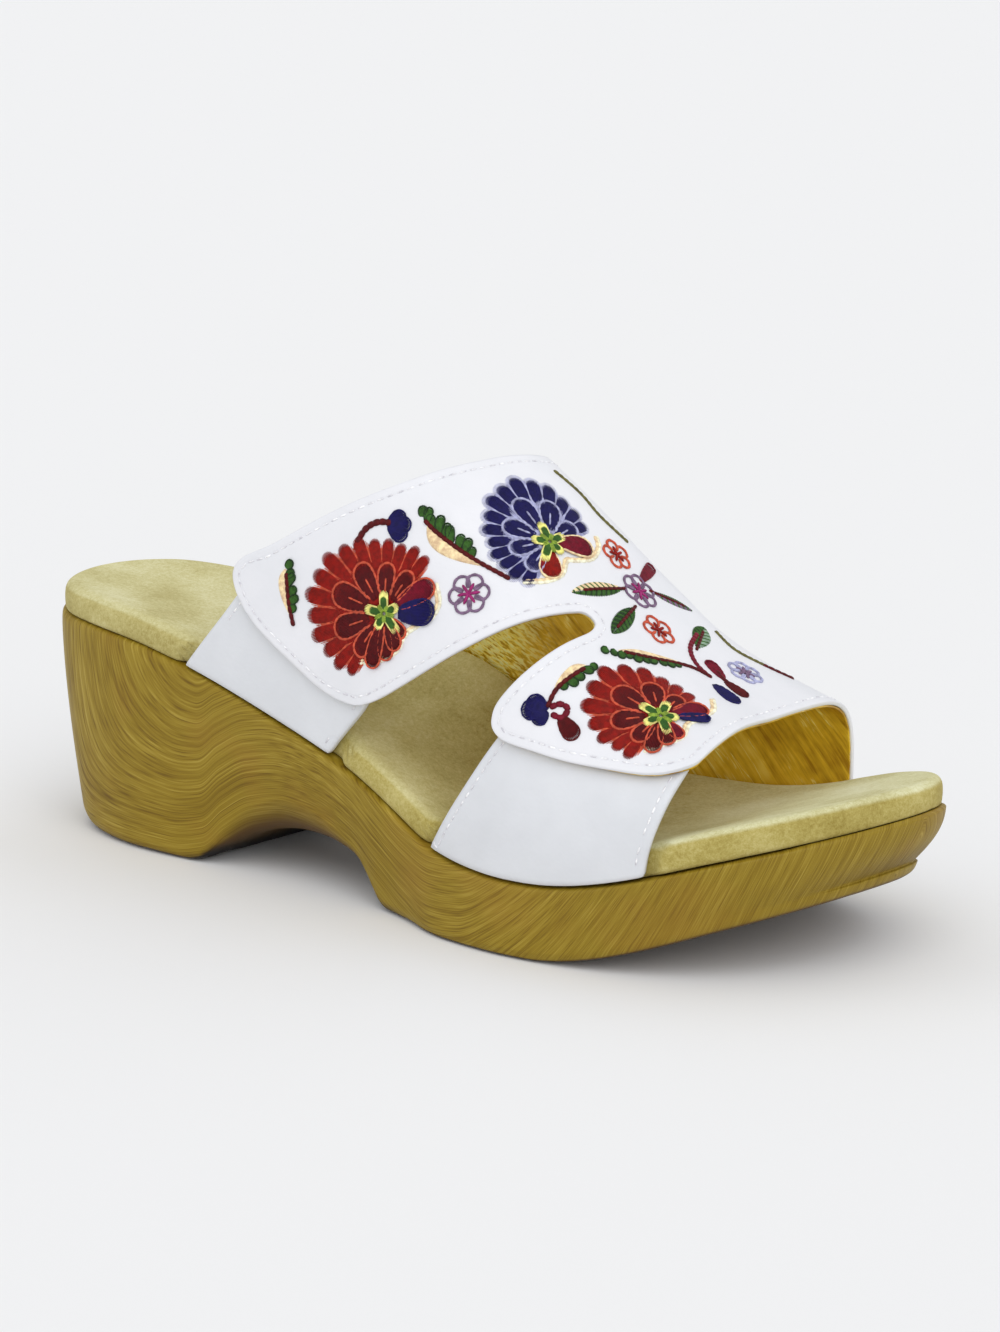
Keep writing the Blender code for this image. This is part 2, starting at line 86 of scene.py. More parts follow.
# Painted shade where the sole turns under, and a near-black painted shadow low in the arch by the floor
PAINTED_UNDERSIDE_SHADE = (84, 58, 12)
PAINTED_ARCH_SHADOW = (8, 4, 1)
SUEDE = (196, 188, 142)
SUEDE_SHEEN = (230, 224, 190)
SEAM_SHADE = (200, 202, 212)
GOLD = (214, 172, 58)
# Painted highlight lines on the lining's creases, and painted shade and painted highlights in its flecks
GOLD_HIGHLIGHT_LINE = (255, 240, 150)
GOLD_SHADE = (192, 150, 14)
GOLD_SHINE = (255, 250, 172)

# Shares of a thread's dye in its dark and light parts, for red, green and blue
DARK_DYE = (0.88, 0.87, 0.88)
LIGHT_DYE = (1.10, 1.10, 1.10)

# Inputs and output of the node that mixes two colours
MIX_SHARE, MIX_FIRST, MIX_SECOND = 0, 6, 7
MIXED_COLOUR = 2

# Lean of the streaks and of the crumpled flecks in the gold lining, in radians
STREAK_LEAN = 0.9
FLECK_LEAN = 0.5

# Turning the solids into smooth pieces: metres and radians, how firm their edges stay, and smoothing steps
MERGE_WITHIN = 0.00001
QUAD_ANGLE = math.radians(50)
EDGE_ANGLE = math.radians(50)
SOLE_CREASE = 0.55
FOOTBED_CREASE = 0.15
LEATHER_CREASE = 0.45
GLUED_CREASE = 0.9
GLUED_FACING = 0.5
BODY_SMOOTHING = 2
LINING_SMOOTHING = 3

# A point inside the shoe, in metres, from which the leather's outer side faces away
FOOT_MIDDLE = Vector((0.0, 0.007, 0.03))

# How far the footbed's underside settles towards the sole, in metres
FOOTBED_SETTLES = 0.15 * MM

# Leather and lining, in metres
LEATHER_SKIVED = 0.8 * MM
LINING_SHORT = 0.3 * MM
LINING_SUNK = 0.12 * MM
LINING_THICKNESS = 0.55 * MM

# Share of the lining's triangles that is kept, so that there are fewer than 200,000
LINING_KEPT = 0.8

# Crinkles of the lining: height in metres, number in a metre along the streaks, across the shoe and across
# the streaks, least and most height, the noise's roughness, growth, layers, offset and gain, and where the
# crinkled part with painted light and painted highlights ends, in millimetres from the middle
LINING_CRINKLE = 0.05 * MM
CRINKLE_COUNTS = (45, 55, 330)
CRINKLE_LIMITS = (-1.5, 1.8)
CRINKLE_NOISE = (1.0, 2.1, 3, 1.0, 2.0)
PAINTED_LIGHT_ENDS = (-8, 11)

# Steps along a cut edge, in millimetres, and how many to each side even out its direction
EDGE_STEP = 0.4
EDGE_BLEND = 4

# Sewing, in millimetres
SEAM_INSET = 2.3
SEAM_PITCH = 2.7
SEAM_STITCH = 1.9
SEAM_WIDTH = 0.5
SEAM_HEIGHT = 0.2
STRAND_PITCH = 0.36
STRAND_WIDTH = 0.46
STRAND_HEIGHT = 0.30
LINE_STITCH = 1.7
LINE_HEIGHT = 0.42
FINE_LINE = 0.42
STEM_HEIGHT = 0.55

# How far the surface of the leather and a piece over it are looked for, in metres
SEWING_REACH = 15 * MM
COVER_REACH = 10 * MM

# One stitch from end to end. Columns: share of its length, thickness. Then its middle row, its sides, how
# far it sinks as a share of its height, and how far it overlaps the next as a share of its length
STITCH_FORM = ((0.0, 0.30), (0.16, 0.86), (0.5, 1.0), (0.84, 0.86), (1.0, 0.30))
STITCH_MIDDLE = len(STITCH_FORM) // 2
STITCH_SIDES = 6
STITCH_SINKS = 0.2
STITCH_OVERLAP = 0.12

# Thread colours as screen values. Columns: name, red, green, blue
THREADS = (
    ("brick_red", 136, 17, 6),
    ("coral", 194, 82, 56),
    ("dark_red", 84, 4, 9),
    ("crimson", 112, 8, 34),
    ("navy", 20, 16, 78),
    ("lavender", 168, 170, 202),
    ("leaf_green", 56, 96, 36),
    ("deep_green", 34, 60, 28),
    ("lime_green", 140, 166, 60),
    ("sage", 138, 164, 140),
    ("olive", 100, 96, 52),
    ("pale_yellow", 240, 230, 138),
    ("cream", 250, 240, 206),
    ("peach", 246, 214, 170),
    ("magenta", 150, 40, 104),
    ("mauve", 122, 98, 124),
    ("seam_white", 232, 233, 237),
)

# Soft creases in the leather. Columns: start, end (millimetres), half width, depth. Then the height of the
# ridges beside them as a share of the depth, their distance in half widths, the share of the length over
# which an end fades out, and how far the leather moves forward for its height
CREASES = (
    ((46, -47, 48.5), (76, -45, 46.5), 3.2, 0.42),
    ((-43, -38, 58), (-7, -39, 54), 3.5, 0.30),
    ((41, -12, 82), (47, 24, 78), 6.0, 0.35),
    ((31, 28, 80), (53, 41, 42), 5.0, 0.45),
    ((3, 26, 92), (19, 40, 44), 5.5, 0.40),
    ((45, -14, 77), (53, -4, 73), 2.6, 0.22),
)
RIDGE_SHARE = 0.4
RIDGE_AWAY = 1.9
CREASE_FADE = 0.25
CREASE_FORWARD = 0.25

# The sole's arch, in millimetres from the heel along its outer edge, and how far it leans forward inwards
ARCH_STARTS = (50, 58)
ARCH_ENDS = (116, 132)
ARCH_SKEW = 0.19
ARCH_OUTER_Y = -36
HEEL_BREAST_ENDS = (70, 85)

# The sole's painted shade where it turns under and painted shadow low in the arch: from none to all by how
# far a face points forwards or down, and by height in millimetres
BREAST_FACING = (0.35, 0.85)
RIM_FACING = (0.10, 0.75)
UNDER_FACING = (0.45, 0.85)
ARCH_SHADOW_HEIGHT = (2.0, 7.5)

# Where the wood-look streaks run along the side. Columns: millimetres from the heel, rise of the streak
GRAIN_LINE = (
    (-2, 0), (50, 0), (60, 2), (67, 8), (76, 13.5), (88, 16), (100, 14.6), (110, 10.5), (120, 4.0),
    (130, -2.0), (140, -5.0), (150, -4.0), (160, 1.5), (175, 15), (192, 38), (215, 78), (330, 290),
)

# How the streaks wrap round the toe and nest round the heel, in millimetres, and how long they are drawn
TOE_WRAP = (190, 232)
TOE_WRAP_SHARE = 0.8
TOE_HALF_WIDTH = 45
TOE_MIDDLE_Y = 5
STREAKS_BELOW = 6
STREAKS_BEHIND = 5
STREAK_LEAST = 0.5
HEEL_NEST_ENDS = (80, 135)
GRAIN_ALONG = 0.024
GRAIN_ASIDE = 0.07

# The footbed's painted shade in the waist and on its wall, and a darker heel which leaves the toe top
# lighter as painted light: millimetres from the heel, from none to all by how far a face points up, and
# how dark it gets
WAIST_STARTS = (70, 100)
WAIST_ENDS = (150, 185)
HEEL_ENDS = (150, 190)
WALL_DARKENS = (70, 125)
TOP_FACING = (0.35, 0.85)
SETTLING_FACING = (0.2, 0.5)
HEEL_DARK = 0.32
WAIST_DARK = 0.62
WALL_DARK = 0.70
WALL_DARKER = 0.25

# Where seams run: from here inwards the upper has none at its foot, which faces up into the leather, and a
# strap has one only on its front and back edges, which face up less than this
INNER_SIDE_Y = 20 * MM
FOOT_FACING = 0.5
END_FACING = 0.62


def screen_colour(red, green, blue):
    """Linear colour of a 0 to 255 screen value."""
    channels = [value / 255 for value in (red, green, blue)]
    linear = [c / 12.92 if c <= 0.04045 else ((c + 0.055) / 1.055) ** 2.4 for c in channels]
    return (*linear, 1.0)


def ease(start, end, value):
    share = np.clip((np.asarray(value, float) - start) / (end - start), 0, 1)
    return share * share * (3 - 2 * share)


def work_on(piece):
    bpy.ops.object.select_all(action="DESELECT")
    piece.select_set(True)
    bpy.context.view_layer.objects.active = piece


def place_camera():
    turn, rise, roll = (math.radians(a) for a in (CAMERA_TURN, CAMERA_RISE, CAMERA_ROLL))
    back = Vector((math.sin(turn) * math.cos(rise), -math.cos(turn) * math.cos(rise), math.sin(rise)))
    level = Vector((math.cos(turn), math.sin(turn), 0))
    upright = back.cross(level)
    right = level * math.cos(roll) + upright * math.sin(roll)
    up = upright * math.cos(roll) - level * math.sin(roll)
    bpy.ops.object.camera_add()
    camera = bpy.context.object
    camera.name = "photo_camera"
    turned = Matrix((right, up, back)).transposed().to_4x4()
    camera.matrix_world = Matrix.Translation(CAMERA_AIM + back * CAMERA_AWAY) @ turned
    camera.data.lens = CAMERA_LENS
    camera.data.clip_start, camera.data.clip_end = CAMERA_SEES
    bpy.context.scene.camera = camera


# Materials


def finish(name, colour, roughness):
    material = bpy.data.materials.new(name)
    material.use_nodes = True
    shader = material.node_tree.nodes["Principled BSDF"]
    shader.inputs["Base Color"].default_value = colour
    shader.inputs["Roughness"].default_value = roughness
    return material, shader


def add_node(material, kind, links=(), **settings):
    """A node with its inputs linked or set: links are (input, output socket or value)."""
    node = material.node_tree.nodes.new(kind)
    for key, value in settings.items():
        setattr(node, key, value)
    for name, source in links:
        if isinstance(source, bpy.types.NodeSocket):
            material.node_tree.links.new(source, node.inputs[name])
        else:
            node.inputs[name].default_value = source
    return node


def connect(material, source, target):
    material.node_tree.links.new(source, target)


def object_place(material):
    return add_node(material, "ShaderNodeTexCoord").outputs["Object"]


def painted(material, name):
    """A value that is painted on the piece's points."""
    return add_node(material, "ShaderNodeAttribute", attribute_name=name).outputs["Fac"]


def worked_out(material, operation, *inputs):
    return add_node(material, "ShaderNodeMath", enumerate(inputs), operation=operation).outputs[0]


def share_between(material, value, none_at, all_at, low=0.0, high=1.0):
    """Low to high as the value goes from one mark to the other."""
    marks = (("From Min", none_at), ("From Max", all_at), ("To Min", low), ("To Max", high))
    return add_node(material, "ShaderNodeMapRange", (("Value", value), *marks)).outputs[0]


def sum_of(material, *weighted):
    """Adds (output, weight) pairs."""
    total, *parts = [worked_out(material, "MULTIPLY", output, weight) for output, weight in weighted]
    for part in parts:
        total = worked_out(material, "ADD", total, part)
    return total


def pattern(material, vector, scale, detail=2.0, roughness=0.5):
    node = add_node(
        material,
        "ShaderNodeTexNoise",
        [("Vector", vector), ("Scale", scale), ("Detail", detail), ("Roughness", roughness)],
    )
    return node.outputs["Fac"]


def stretched(material, place, lean, long, thin):
    """Coordinates for marks drawn out along the leaning lining."""
    return add_node(
        material,
        "ShaderNodeMapping",
        [("Vector", place), ("Rotation", (0.0, lean, 0.0)), ("Scale", (long, long, thin))],
        vector_type="TEXTURE",
    ).outputs[0]


def colour_ramp(material, factor, tones):
    """Tones are rows of a place and a screen colour."""
    ramp = add_node(material, "ShaderNodeValToRGB", [("Fac", factor)])
    elements = ramp.color_ramp.elements
    while len(elements) < len(tones):
        elements.new(0.5)
    for element, (place, *colour) in zip(elements, tones):
        element.position = place
        element.color = screen_colour(*colour)
    return ramp.outputs["Color"]


def blend_colours(material, share, first, second):
    links = ((MIX_SHARE, share), (MIX_FIRST, first), (MIX_SECOND, second))
    return add_node(material, "ShaderNodeMix", links, data_type="RGBA").outputs[MIXED_COLOUR]


def bump_from(material, shader, height, strength, distance):
    bump = add_node(
        material, "ShaderNodeBump", [("Height", height), ("Strength", strength), ("Distance", distance)]
    )
    connect(material, bump.outputs["Normal"], shader.inputs["Normal"])


def wood_look():
    """Moulded sole with printed wood streaks, painted shade where it turns under, painted shadow in the
    arch.
    """
    material, shader = finish("wood_look", screen_colour(*WOOD), 0.5)
    grain = [painted(material, name) for name in ("grain_across", "grain_aside", "grain_along")]
    flow = add_node(material, "ShaderNodeCombineXYZ", zip("XYZ", grain)).outputs[0]
    broad = pattern(material, flow, scale=0.30, detail=2.0, roughness=0.5)
    streak = pattern(material, flow, scale=1.35, detail=3.0, roughness=0.6)
    fine = pattern(material, flow, scale=3.6, detail=1.0, roughness=0.5)
    tone = sum_of(material, (broad, 0.22), (streak, 0.39), (fine, 0.39))
    patch = pattern(material, object_place(material), scale=34.0, detail=2.0)
    wood = colour_ramp(material, tone, WOOD_TONES)
    # Pores and warm patches belong to the print; the last two rows are painted shade and painted shadow
    for share, colour in (
        (share_between(material, fine, 0.38, 0.26, high=0.5), WOOD_PORE),
        (share_between(material, patch, 0.52, 0.72, high=0.35), WARM_WOOD),
        (painted(material, "underside_painted_shade"), PAINTED_UNDERSIDE_SHADE),
        (painted(material, "arch_painted_shadow"), PAINTED_ARCH_SHADOW),
    ):
        wood = blend_colours(material, share, wood, screen_colour(*colour))
    connect(material, wood, shader.inputs["Base Color"])
    rough = share_between(material, tone, 0.3, 0.7, low=0.58, high=0.44)
    connect(material, rough, shader.inputs["Roughness"])
    shader.inputs["Specular IOR Level"].default_value = 0.24
    bump_from(material, shader, tone, strength=0.25, distance=0.4 * MM)
    return material


def suede():
    """Khaki nap with soft brushed patches, blended into a darker copy of itself where shade is painted."""
    material, shader = finish("khaki_suede", screen_colour(*SUEDE), 0.92)
    place = object_place(material)
    nap = pattern(material, place, scale=900.0, detail=3.0, roughness=0.65)
    speck = pattern(material, place, scale=2600.0, detail=2.0, roughness=0.6)
    brushed = pattern(material, place, scale=46.0, detail=3.0, roughness=0.55)
    tone = sum_of(material, (brushed, 0.48), (nap, 0.29), (speck, 0.23))
    light_nap = colour_ramp(material, tone, LIGHT_NAP)
    shaded_nap = colour_ramp(material, tone, SHADED_NAP)
    # Blends to the darker copy where the footbed carries painted shade
    khaki = blend_colours(material, painted(material, "nap_painted_shade"), light_nap, shaded_nap)
    connect(material, khaki, shader.inputs["Base Color"])
    shader.inputs["Specular IOR Level"].default_value = 0.15
    shader.inputs["Sheen Weight"].default_value = 0.12
    shader.inputs["Sheen Roughness"].default_value = 0.5
    shader.inputs["Sheen Tint"].default_value = screen_colour(*SUEDE_SHEEN)
    relief = sum_of(material, (nap, 0.6), (speck, 0.4))
    bump_from(material, shader, relief, strength=0.35, distance=0.4 * MM)
    return material


def white_leather(name, whites):
    """Smooth white leather with a fine grain and a pressed channel under the edge seam."""
    lightest = whites[-1][1:]
    material, shader = finish(name, screen_colour(*lightest), 0.42)
    place = object_place(material)
    away = worked_out(material, "SUBTRACT", painted(material, "edge_distance"), SEAM_INSET)
    square = worked_out(material, "MULTIPLY", away, away)
    channel = share_between(material, square, 0.0, 0.35, low=1.0, high=0.0)
    pores = add_node(
        material, "ShaderNodeTexVoronoi", [("Vector", place), ("Scale", 950.0)], feature="SMOOTH_F1"
    ).outputs["Distance"]
    swell = pattern(material, place, scale=190.0, detail=3.0, roughness=0.5)
    soil = pattern(material, place, scale=55.0, detail=3.0, roughness=0.6)
    seam_shade = worked_out(material, "MULTIPLY", channel, 0.08)
    white = colour_ramp(material, soil, whites)
    white = blend_colours(material, seam_shade, white, screen_colour(*SEAM_SHADE))
    connect(material, white, shader.inputs["Base Color"])
    rough = share_between(material, swell, 0.3, 0.7, low=0.38, high=0.50)
    connect(material, rough, shader.inputs["Roughness"])
    relief = sum_of(material, (pores, 0.25), (swell, 0.35), (channel, -0.32))
    bump_from(material, shader, relief, strength=0.30, distance=0.5 * MM)
    return material


def gold_foil():
    """Metallic gold lining: soft patches, painted highlight lines, painted light and shade on its crinkled
    part.
    """
    material, shader = finish("gold_lining", screen_colour(*GOLD), 0.36)
    place = object_place(material)
    drawn = stretched(material, place, STREAK_LEAN, long=1.9, thin=0.15)
    patch = pattern(material, place, scale=75.0, detail=3.0, roughness=0.55)
    streak = pattern(material, drawn, scale=62.0, detail=3.0, roughness=0.6)
    crackle = pattern(material, drawn, scale=190.0, detail=3.0, roughness=0.6)
    tone = sum_of(material, (patch, 0.42), (streak, 0.32), (crackle, 0.26))
    flat = colour_ramp(material, tone, FLAT_GOLD)
    lit_gold = colour_ramp(material, tone, LIT_GOLD_PAINTED)
    # On the crinkled part: a lighter copy of the gold as painted light, and painted shade and highlights
    # in flecks
    crumpled_painted_light = painted(material, "crumpled_painted_light")
    gold = blend_colours(material, share_between(material, crumpled_painted_light, 0.45, 1.0), flat, lit_gold)
    # Thin painted highlight lines along the ridges of the streaks
    away = worked_out(material, "ABSOLUTE", worked_out(material, "SUBTRACT", streak, 0.5))
    thin = share_between(material, away, 0.016, 0.004)
    line = worked_out(material, "MULTIPLY", thin, share_between(material, patch, 0.47, 0.55))
    drawn = stretched(material, place, FLECK_LEAN, long=0.9, thin=0.22)
    fleck = pattern(material, drawn, scale=360.0, detail=2.0, roughness=0.55)
    shade = worked_out(material, "MULTIPLY", share_between(material, fleck, 0.46, 0.36), crumpled_painted_light)
    shine = worked_out(material, "MULTIPLY", share_between(material, fleck, 0.47, 0.58), crumpled_painted_light)
    for share, colour in ((line, GOLD_HIGHLIGHT_LINE), (shade, GOLD_SHADE), (shine, GOLD_SHINE)):
        gold = blend_colours(material, share, gold, screen_colour(*colour))
    connect(material, gold, shader.inputs["Base Color"])
    shader.inputs["Metallic"].default_value = 0.28
    relief = sum_of(material, (tone, 0.8), (shine, 0.2))
    bump_from(material, shader, relief, strength=0.5, distance=1.0 * MM)
    return material


def thread_finish(name, colour):
    """Glossy embroidery yarn: fine lengthwise shine and small changes of dye."""
    material, shader = finish(name + "_thread", screen_colour(*colour), 0.56)
    place = object_place(material)
    dark = [value * share for value, share in zip(colour, DARK_DYE)]
    light = [min(255, value * share) for value, share in zip(colour, LIGHT_DYE)]
    dye = pattern(material, place, scale=700.0, detail=2.0, roughness=0.6)
    tint = colour_ramp(material, dye, ((0.36, *dark), (0.64, *light)))
    connect(material, tint, shader.inputs["Base Color"])
    shader.inputs["Specular IOR Level"].default_value = 0.22
    twist = pattern(material, place, scale=5200.0, detail=1.0)
    bump_from(material, shader, twist, strength=0.25, distance=0.1 * MM)
    return material


# Pieces that start from the CAD solids


def start_from(node, name):
    """A copy of a CAD solid with its triangles merged back into quads."""
    piece = bpy.data.objects.new(name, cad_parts[node].data.copy())
    bpy.context.scene.collection.objects.link(piece)
    piece.data.materials.clear()
    work_on(piece)
    bpy.ops.mesh.customdata_custom_splitnormals_clear()
    bpy.ops.object.mode_set(mode="EDIT")
    bpy.ops.mesh.select_mode(type="EDGE")
    bpy.ops.mesh.select_all(action="SELECT")
    bpy.ops.mesh.mark_sharp(clear=True)
    bpy.ops.mesh.remove_doubles(threshold=MERGE_WITHIN)
    bpy.ops.mesh.tris_convert_to_quads(face_threshold=QUAD_ANGLE, shape_threshold=QUAD_ANGLE)
    bpy.ops.object.mode_set(mode="OBJECT")
    return piece


def hold_edges(piece, crease, glued_side=0):
    """Keeps the sharp edges firm when the body is smoothed, firmer round a side that is glued on.

    The glued side is 1 for the top, -1 for the underside and 0 for none.
    """
    work_on(piece)
    bpy.ops.object.mode_set(mode="EDIT")
    bpy.ops.mesh.select_mode(type="EDGE")
    bpy.ops.mesh.select_all(action="DESELECT")
    bpy.ops.mesh.edges_select_sharp(sharpness=EDGE_ANGLE)
    bpy.ops.transform.edge_crease(value=crease)
    if glued_side:
        body = bmesh.from_edit_mesh(piece.data)
        for edge in body.edges:
            if max(face.normal.z * glued_side for face in edge.link_faces) < GLUED_FACING:
                edge.select_set(False)
        bmesh.update_edit_mesh(piece.data)
        bpy.ops.transform.edge_crease(value=GLUED_CREASE - crease)
    bpy.ops.object.mode_set(mode="OBJECT")


def smooth_body(piece, levels):
    work_on(piece)
    modifier = piece.modifiers.new("Smooth body", "SUBSURF")
    modifier.levels = levels
    modifier.render_levels = levels
    bpy.ops.object.modifier_apply(modifier=modifier.name)
    bpy.ops.object.shade_smooth()


def vertex_places(piece):
    places = np.zeros(len(piece.data.vertices) * 3)
    piece.data.vertices.foreach_get("co", places)
    return places.reshape(-1, 3)


def vertex_normals(piece):
    normals = np.zeros(len(piece.data.vertices) * 3)
    piece.data.vertex_normals.foreach_get("vector", normals)
    return normals.reshape(-1, 3)


def set_places(piece, places):
    piece.data.vertices.foreach_set("co", places.ravel())
    piece.data.update()


def paint_value(piece, name, values):
    attribute = piece.data.attributes.new(name, "FLOAT", "POINT")
    attribute.data.foreach_set("value", np.asarray(values, np.float32))


def finish_piece(piece, material, node=None):
    piece.data.materials.append(material)
    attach(piece, "root")
    if node:
        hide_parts(node)


def curve_through(table):
    """Smooth curve through (place, value) rows that makes no bumps of its own."""
    x, y = (np.array(column, float) for column in zip(*table))
    width = np.diff(x)
    slope = np.diff(y) / width
    lean = np.zeros(len(x))
    turning = slope[:-1] * slope[1:] > 0
    lean[1:-1][turning] = (2 * slope[:-1] * slope[1:])[turning] / (slope[:-1] + slope[1:])[turning]
    lean[0], lean[-1] = slope[0], slope[-1]

    def value_at(place):
        place = np.clip(place, x[0], x[-1])
        i = np.clip(np.searchsorted(x, place) - 1, 0, len(width) - 1)
        s = (place - x[i]) / width[i]
        first = (1 + 2 * s) * (1 - s) ** 2 * y[i] + s * (1 - s) ** 2 * width[i] * lean[i]
        second = s * s * (3 - 2 * s) * y[i + 1] + s * s * (s - 1) * width[i] * lean[i + 1]
        return first + second

    return value_at


def paint_underside_shade(sole, x, y, z):
    """Painted shade where the sole turns under and on the arch's rim; a near-black painted shadow by the
    floor.
    """
    normals = vertex_normals(sole)
    downward = -normals[:, 2]
    place = x - ARCH_SKEW * (y - ARCH_OUTER_Y)
    arch = ease(*ARCH_STARTS, place) * (1 - ease(*ARCH_ENDS, place))
    breast = ease(*BREAST_FACING, normals[:, 0]) * (1 - ease(*HEEL_BREAST_ENDS, place))
    rim = arch * np.maximum(ease(*RIM_FACING, downward), breast)
    paint_value(sole, "underside_painted_shade", np.maximum(ease(*UNDER_FACING, downward), rim))
    paint_value(sole, "arch_painted_shadow", rim * (1 - ease(*ARCH_SHADOW_HEIGHT, z)))


def mould_sole():
    """Smooth sole, with the run of the wood-look streaks painted on it."""
    sole = start_from("wedge_sole", "wedge_sole_wood_look")
    hold_edges(sole, SOLE_CREASE, glued_side=1)
    smooth_body(sole, BODY_SMOOTHING)
    x, y, z = (vertex_places(sole) / MM).T
    x = x + HEEL_TO_MIDDLE
    round_toe = ease(*TOE_WRAP, x) * TOE_WRAP_SHARE * (TOE_HALF_WIDTH - np.abs(y - TOE_MIDDLE_Y))
    rise = z - curve_through(GRAIN_LINE)(x + round_toe) + STREAKS_BELOW
    from_below = np.maximum(rise, STREAK_LEAST)
    from_back = np.maximum(x + STREAKS_BEHIND, STREAK_LEAST)
    nested = 1 / np.sqrt(1 / from_below**2 + 1 / from_back**2)
    heel = 1 - ease(*HEEL_NEST_ENDS, x)
    paint_value(sole, "grain_across", nested * heel + rise * (1 - heel))
    paint_value(sole, "grain_along", GRAIN_ALONG * (x - z * (2 * heel - 1)))
    paint_value(sole, "grain_aside", GRAIN_ASIDE * y)
    # Painted shade where the sole turns under and a painted shadow low in the arch
    paint_underside_shade(sole, x, y, z)
    finish_piece(sole, wood_look(), "wedge_sole")


def cover_footbed():
    """Padded footbed: painted shade in the waist and on the wall; a darker heel leaves the toe top painted
    light.
    """
    bed = start_from("footbed", "footbed_suede")
    places = vertex_places(bed)
    places[:, 2] -= FOOTBED_SETTLES * ease(*SETTLING_FACING, -vertex_normals(bed)[:, 2])
    set_places(bed, places)
    hold_edges(bed, FOOTBED_CREASE, glued_side=-1)
    smooth_body(bed, BODY_SMOOTHING)
    x = vertex_places(bed)[:, 0] / MM + HEEL_TO_MIDDLE
    # A darker heel with a lighter nap leaves the toe top lighter as painted light; the waist and the wall
    # get painted shade
    heel = HEEL_DARK * (1 - ease(*HEEL_ENDS, x))
    waist = WAIST_DARK * ease(*WAIST_STARTS, x) * (1 - ease(*WAIST_ENDS, x))
    wall = WALL_DARK + WALL_DARKER * ease(*WALL_DARKENS, x)
    wall = wall * (1 - ease(*TOP_FACING, vertex_normals(bed)[:, 2]))
    paint_value(bed, "nap_painted_shade", np.maximum.reduce([heel, waist, wall]))
    finish_piece(bed, suede(), "footbed")


def leather_sides(body):
    """Outer and inner side of a leather piece, as lists of faces parted by its cut edge."""
    sides, seen = [], set()
    for first in body.faces:
        if first in seen:
            continue
        side, waiting = [], [first]
        seen.add(first)
        while waiting:
            face = waiting.pop()
            side.append(face)
            for edge in face.edges:
                if edge.calc_face_angle(0.0) > EDGE_ANGLE:
                    continue
                for other in edge.link_faces:
                    if other not in seen:
                        seen.add(other)
                        waiting.append(other)
        sides.append(side)
    sides.sort(key=lambda side: sum(face.calc_area() for face in side), reverse=True)

    def outwardness(side):
        return sum(
            face.calc_area() * face.normal.dot(face.calc_center_median() - FOOT_MIDDLE) for face in side
        )

    outer, inner = sorted(sides[:2], key=outwardness, reverse=True)
    return outer, inner


def cut_edge(piece):
    """Points round the outer cut edge, evenly spaced, each with its direction into the leather."""
    body = bmesh.new()
    body.from_mesh(piece.data)
    side = leather_sides(body)[0]
    outer = set(side)
    following = {}
    for face in side:
        for loop in face.loops:
            if any(other not in outer for other in loop.edge.link_faces):
                step = loop.link_loop_next.vert.co - loop.vert.co
                following[loop.vert] = (loop.link_loop_next.vert, face.normal.cross(step).normalized())
    start = next(iter(following))
    points, inwards, vert = [], [], start
    while True:
        after, inward = following[vert]
        length = (after.co - vert.co).length
        count = max(1, round(length / (EDGE_STEP * MM)))
        for i in range(count):
            points.append(vert.co.lerp(after.co, i / count))
            inwards.append(inward)
        vert = after
        if vert == start:
            break
    points, inwards = np.array(points), np.array(inwards)
    body.free()
    blended = sum(np.roll(inwards, shift, axis=0) for shift in range(-EDGE_BLEND, EDGE_BLEND + 1))
    return points, blended / np.linalg.norm(blended, axis=1)[:, None]


def edge_distances(piece, edge):
    tree = KDTree(len(edge))
    for i, point in enumerate(edge):
        tree.insert(point, i)
    tree.balance()
    return [tree.find(place)[2] / MM for place in vertex_places(piece)]


def press_creases(piece):
    """Soft troughs with a low ridge on both sides; both faces of the leather move together."""
    places = vertex_places(piece)
    outward = places - np.array(FOOT_MIDDLE)
    outward[:, 0] = CREASE_FORWARD * np.abs(outward[:, 2])
    outward /= np.linalg.norm(outward, axis=1)[:, None]
    move = np.zeros(len(places))
    for start, end, half_width, depth in CREASES:
        start, end = np.array(start) * MM, np.array(end) * MM
        along = end - start
        share = np.clip((places - start) @ along / (along @ along), 0, 1)
        away = np.linalg.norm(places - start - share[:, None] * along, axis=1) / (half_width * MM)
        fade = ease(0, CREASE_FADE, share) * (1 - ease(1 - CREASE_FADE, 1, share))
        trough = np.exp(-(away**2))
        ridge = RIDGE_SHARE * np.exp(-((away - RIDGE_AWAY) ** 2))
        move += depth * MM * fade * (ridge - trough)
    set_places(piece, places + outward * move[:, None])


def skive(piece, depth):
    """Shaves the inner side of the leather, which leaves room for a lining."""
    body = bmesh.new()
    body.from_mesh(piece.data)
    facing = {}
    for face in leather_sides(body)[1]:
        for vert in face.verts:
            facing[vert] = facing.get(vert, Vector()) + face.normal
    for vert, normal in facing.items():
        vert.co -= normal.normalized() * depth
    body.to_mesh(piece.data)
    body.free()


def cut_leather(node, name, material, sewn, skived=0.0):
    """Leather piece with its cut edge; sewn tells where a seam runs along that edge."""
    leather = start_from(node, name)
    if skived:
        skive(leather, skived)
    edge, inwards = cut_edge(leather)
    seam = [sewn(point, inward) for point, inward in zip(edge, inwards)]
    hold_edges(leather, LEATHER_CREASE)
    smooth_body(leather, BODY_SMOOTHING)
    press_creases(leather)
    paint_value(leather, "edge_distance", edge_distances(leather, edge[seam]))
    finish_piece(leather, material, node)
    return leather, edge, inwards, seam


